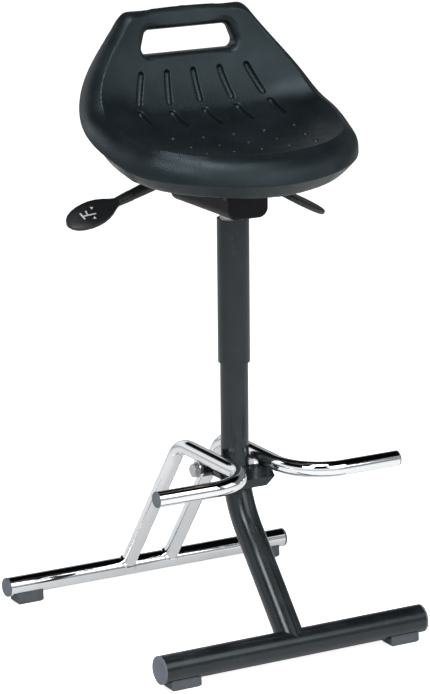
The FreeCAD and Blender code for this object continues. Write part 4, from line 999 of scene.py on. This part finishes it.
@dataclass
class Handle:
    """A moulded handle: shank, knuckle, tapering stem with ribs, oval paddle."""

    name: str
    node: str
    body: str
    side: Side
    joint: str
    # How far it droops past its knuckle and turns about itself in degrees, and where its inner end is
    droop: float
    turn: float
    start: float
    icon: bool = False
    knuckle: float = 60.0
    bend: float = 9.0
    turn_start: float = 20.0
    turn_run: float = 70.0
    # Run, width, thickness, and the power that makes the section round at 2 and boxy above
    stations: tuple = ((0, 15.6, 15.6, 2.0), (14, 16.4, 16, 2.0), (26, 19, 17.2, 2.2), (40, 20.4, 17, 2.4),
                       (62, 19.4, 15, 2.4), (84, 17, 12.6, 2.4), (101, 15.2, 10.8, 2.4),
                       (106, 16.4, 10.2, 2.6), (112, 22.5, 10, 2.8), (120, 33, 10, 3.2), (130, 43, 10, 3.4),
                       (141, 48.8, 10, 3.6), (151, 50, 10, 3.6), (161, 48.8, 10, 3.6), (173, 42.5, 10, 3.4),
                       (182, 33, 9.6, 3.2), (188, 21, 8.4, 2.8), (191, 8, 5, 2.2))
    rib_start: float = 80.0
    rib_end: float = 102.0
    rib_pitch: float = 2.8
    rib_height: float = 0.7
    around: int = 48
    spacing: float = 0.7
    sharp: float = 50.0
    icon_top: float = 5.12
    icon_root: float = 4.6

    def centre(self, run: float) -> tuple[np.ndarray, float]:
        """Follow the centre line of the handle.

        Args:
            run: Distance from the inner end.

        Returns:
            The point and the droop there, in degrees.
        """
        straight = self.knuckle - self.start
        bend = self.bend
        if run < straight - bend:
            return np.array([self.start + run, 0.0, 0.0]), 0.0
        angle = math.radians(self.droop)
        if run > straight + bend:
            beyond = run - straight
            down = -beyond * math.sin(angle)
            return np.array([self.knuckle + beyond * math.cos(angle), 0.0, down]), self.droop
        t = (run - straight + bend) / (2 * bend)
        a = np.array([self.knuckle - bend, 0.0, 0.0])
        b = np.array([self.knuckle, 0.0, 0.0])
        c = np.array([self.knuckle + bend * math.cos(angle), 0.0, -bend * math.sin(angle)])
        return (1 - t) ** 2 * a + 2 * t * (1 - t) * b + t * t * c, self.droop * t

    def spot(self, run: float, across: float, above: float) -> tuple[float, float, float]:
        """Find where a point of the handle lies once it droops and turns.

        Args:
            run: Distance along the centre line.
            across: Distance to its side.
            above: Distance above it.

        Returns:
            The point in millimetres, with the handle along +X.
        """
        middle, droop = self.centre(run)
        lean = math.radians(droop)
        roll = math.radians(self.turn) * min(1.0, max(0.0, (run - self.turn_start) / self.turn_run))
        y = across * math.cos(roll) - above * math.sin(roll)
        z = across * math.sin(roll) + above * math.cos(roll)
        return (float(middle[0] + z * math.sin(lean)), float(middle[1] + y),
                float(middle[2] + z * math.cos(lean)))

    def settle(self, piece: Object) -> None:
        """Bring a piece made along +X to the handle's side and joint.

        Args:
            piece: The object to move.
        """
        if self.side is Side.LEFT:
            piece.data.transform(Matrix.Scale(-1, 4, (1, 0, 0)))
            piece.data.flip_normals()
        place = joint_place(self.joint)
        piece.data.transform(Matrix.Translation((0.0, place.y, place.z)))

    def print_icon(self) -> None:
        """Print a plain sign for tilting on the paddle: a leaning bar over a base, between two arrows."""
        shapes = {"icon_base": [(166, -7), (166, 7), (163.6, 7), (163.6, -7)],
                  "icon_lean": [(163.6, -2), (162.8, 0.4), (144.4, -5.2), (145.2, -7.6)],
                  "icon_seat": [(158.6, -3.6), (156.4, -4.2), (154.2, 6.4), (156.4, 7.0)],
                  "icon_arrow_up": [(146, 4), (146, 10), (141.6, 7)],
                  "icon_arrow_down": [(150, -15.5), (150, -9.5), (154.4, -12.5)]}
        for name, outline in shapes.items():
            top = [self.spot(run, across, self.icon_top) for run, across in outline]
            low = [self.spot(run, across, self.icon_root) for run, across in outline]
            count = len(outline)
            sides = [(n, (n + 1) % count, (n + 1) % count + count, n + count) for n in range(count)]
            piece = mesh_of(name, top + low, [tuple(range(count)), tuple(range(count, 2 * count))] + sides)
            self.settle(piece)
            dress(piece, Finishes.PRINT.made())
            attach(piece, self.body)

    def build(self) -> None:
        """Make and dress the handle."""
        marks = np.array([row[0] for row in self.stations], float)
        sizes = np.array([row[1:] for row in self.stations], float)
        rings = []
        for run in list(np.arange(0, marks[-1], self.spacing)) + [marks[-1]]:
            width, thick, power = (float(np.interp(run, marks, sizes[:, column])) for column in range(3))
            if self.rib_start <= run <= self.rib_end:
                swell = self.rib_height * math.sin(math.pi * (run - self.rib_start) / self.rib_pitch) ** 2
                width, thick = width + 2 * swell, thick + 2 * swell
            ring = []
            for angle in np.linspace(0, 2 * math.pi, self.around, endpoint=False):
                y = width / 2 * abs(math.cos(angle)) ** (2 / power) * math.copysign(1, math.cos(angle))
                z = thick / 2 * abs(math.sin(angle)) ** (2 / power) * math.copysign(1, math.sin(angle))
                ring.append(self.spot(run, y, z))
            rings.append(np.array(ring))
        handle = tube_of_rings(self.name, rings)
        self.settle(handle)
        smooth(handle, self.sharp)
        dress(handle, Finishes.LEVER.made())
        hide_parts(self.node)
        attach(handle, self.body)
        if self.icon:
            self.print_icon()
        LOG.info("handle %s", self.name)


# Studio

@dataclass(frozen=True)
class Lamp:
    """A soft square lamp: where it hangs in metres, its side in metres, its power in watts, and its aim."""

    name: str
    place: tuple[float, float, float]
    size: float
    power: float
    aim: tuple[float, float, float] = (0.0, 0.0, 0.5)

    def hang(self) -> None:
        """Hang it so that it looks at its aim."""
        data = bpy.data.lights.new(self.name, "AREA")
        data.size = self.size
        data.energy = self.power
        made = new_object(self.name, data)
        made.location = self.place
        made.rotation_euler = (Vector(self.aim) - Vector(self.place)).to_track_quat("-Z", "Y").to_euler()


@dataclass
class Studio:
    """White room, soft lamps and the camera of the photograph, which is measured from the post's axis."""

    post_y: float
    eye: tuple = (-2.305075, -4.090855, 1.672220)
    right: tuple = (0.87294056, -0.48773912, -0.00923727)
    up: tuple = (0.13098753, 0.21611324, 0.9675419)
    back: tuple = (-0.46991173, -0.84581654, 0.25254176)
    lens: float = 168.88
    floor_reach: float = 9000.0
    # The front lamp is for the seat's crown and back panel, which the others leave nearly black
    lamps: tuple[Lamp, ...] = (Lamp("key", (-2.2, -1.8, 2.8), 1.3, 58.0),
                               Lamp("fill", (2.8, -1.8, 1.6), 2.0, 14.0),
                               Lamp("top", (-0.1, -0.6, 2.6), 0.9, 27.0),
                               Lamp("front", (0.8, -2.7, 2.3), 2.0, 38.0),
                               Lamp("back", (-2.2, 2.2, 2.3), 1.4, 14.0))

    def camera(self) -> None:
        """Put the camera where the photograph was taken."""
        data = bpy.data.cameras.new("camera")
        data.lens = self.lens
        data.sensor_width = 36.0
        data.sensor_fit = "AUTO"
        data.clip_end = 100.0
        made = new_object("camera", data)
        turn = Matrix((self.right, self.up, self.back)).transposed().to_4x4()
        x, y, z = self.eye
        made.matrix_world = Matrix.Translation((x, y + self.post_y, z)) @ turn
        bpy.context.scene.camera = made

    def floor(self) -> None:
        """Lay a white floor that glows to the camera alone, so that it blends into the white room."""
        reach = self.floor_reach
        floor = mesh_of("floor", [(-reach, -reach, 0), (reach, -reach, 0), (reach, reach, 0),
                                  (-reach, reach, 0)], [(0, 1, 2, 3)])
        material = bpy.data.materials.new("white_floor")
        tree = empty_tree(material)
        paper = add(tree, "BsdfPrincipled", {"Base Color": linear("#fafafa"), "Roughness": 0.9})
        glow = add(tree, "Emission", {"Color": linear("#ffffff"), "Strength": 0.8})
        ray = add(tree, "LightPath")
        both = add(tree, "AddShader", {0: paper, 1: glow})
        mixed = add(tree, "MixShader", {0: ray.outputs["Is Camera Ray"], 1: paper, 2: both})
        add(tree, "OutputMaterial", {"Surface": mixed})
        dress(floor, material)

    def mirrored_room(self, tree: NodeTree) -> NodeSocket:
        """Paint what the shining pieces mirror: white walls, darker to the right, and a dark ceiling.

        Args:
            tree: The world's node tree.

        Returns:
            The colour.
        """
        toward = add(tree, "TexCoord").outputs["Generated"]
        height = add(tree, "SeparateXYZ", {0: toward}).outputs["Z"]
        ceiling = ramp(tree, height, [
            (0.0, linear("#c4c8cb")), (0.1, linear("#e9ebec")), (0.24, linear("#ffffff")),
            (0.42, linear("#f4f5f6")), (0.5, linear("#0c0d0e")), (1.0, linear("#0c0d0e"))])
        aside = add(tree, "SeparateXYZ", {0: toward}).outputs["X"]
        wall = ramp(tree, aside, [(0.1, linear("#ffffff")), (0.65, linear("#7a7e82"))])
        # Inputs 6 and 7 and output 2 are the colours of a mix node
        return add(tree, "Mix", {"Factor": 1.0, 6: ceiling, 7: wall}, data_type="RGBA",
                   blend_type="MULTIPLY").outputs[2]

    def world(self) -> None:
        """Surround the stool: white to the camera, dim as a light, and the mirrored room in what shines."""
        world = bpy.data.worlds.new("white_room")
        tree = empty_tree(world)
        ray = add(tree, "LightPath")
        seen = add(tree, "Math", {
            0: ray.outputs["Is Camera Ray"], 1: ray.outputs["Is Transmission Ray"]}, operation="MAXIMUM")
        soft = add(tree, "Background", {"Color": linear("#ffffff"), "Strength": 0.3})
        white = add(tree, "Background", {"Color": linear("#ffffff"), "Strength": 1.0})
        mirrored = add(tree, "Background", {"Color": self.mirrored_room(tree), "Strength": 1.0})
        shiny = add(tree, "MixShader", {0: ray.outputs["Is Glossy Ray"], 1: soft, 2: mirrored})
        mixed = add(tree, "MixShader", {0: seen, 1: shiny, 2: white})
        add(tree, "OutputWorld", {"Surface": mixed})
        bpy.context.scene.world = world
        bpy.context.scene.view_settings.view_transform = "Standard"

    def build(self) -> None:
        """Make the camera, the room and the lamps."""
        self.camera()
        self.floor()
        self.world()
        for lamp in self.lamps:
            lamp.hang()


def main() -> None:
    """Build everything in order."""
    # The seat turns about the post's axis
    post_y = joint_place("seat_swivel").y
    Studio(post_y).build()
    SteelWork().build()
    Seat(post_y).build()
    Handle("height_lever_handle", "height_handle", "height_lever", Side.RIGHT, "height_release",
           droop=27.0, turn=11.0, start=36.6).build()
    Handle("tilt_lever_handle", "tilt_handle", "tilt_lever", Side.LEFT, "tilt_clamp",
           droop=18.0, turn=30.0, start=33.6, icon=True).build()


if __name__ == "__main__":
    logging.basicConfig(level=logging.INFO)
    main()
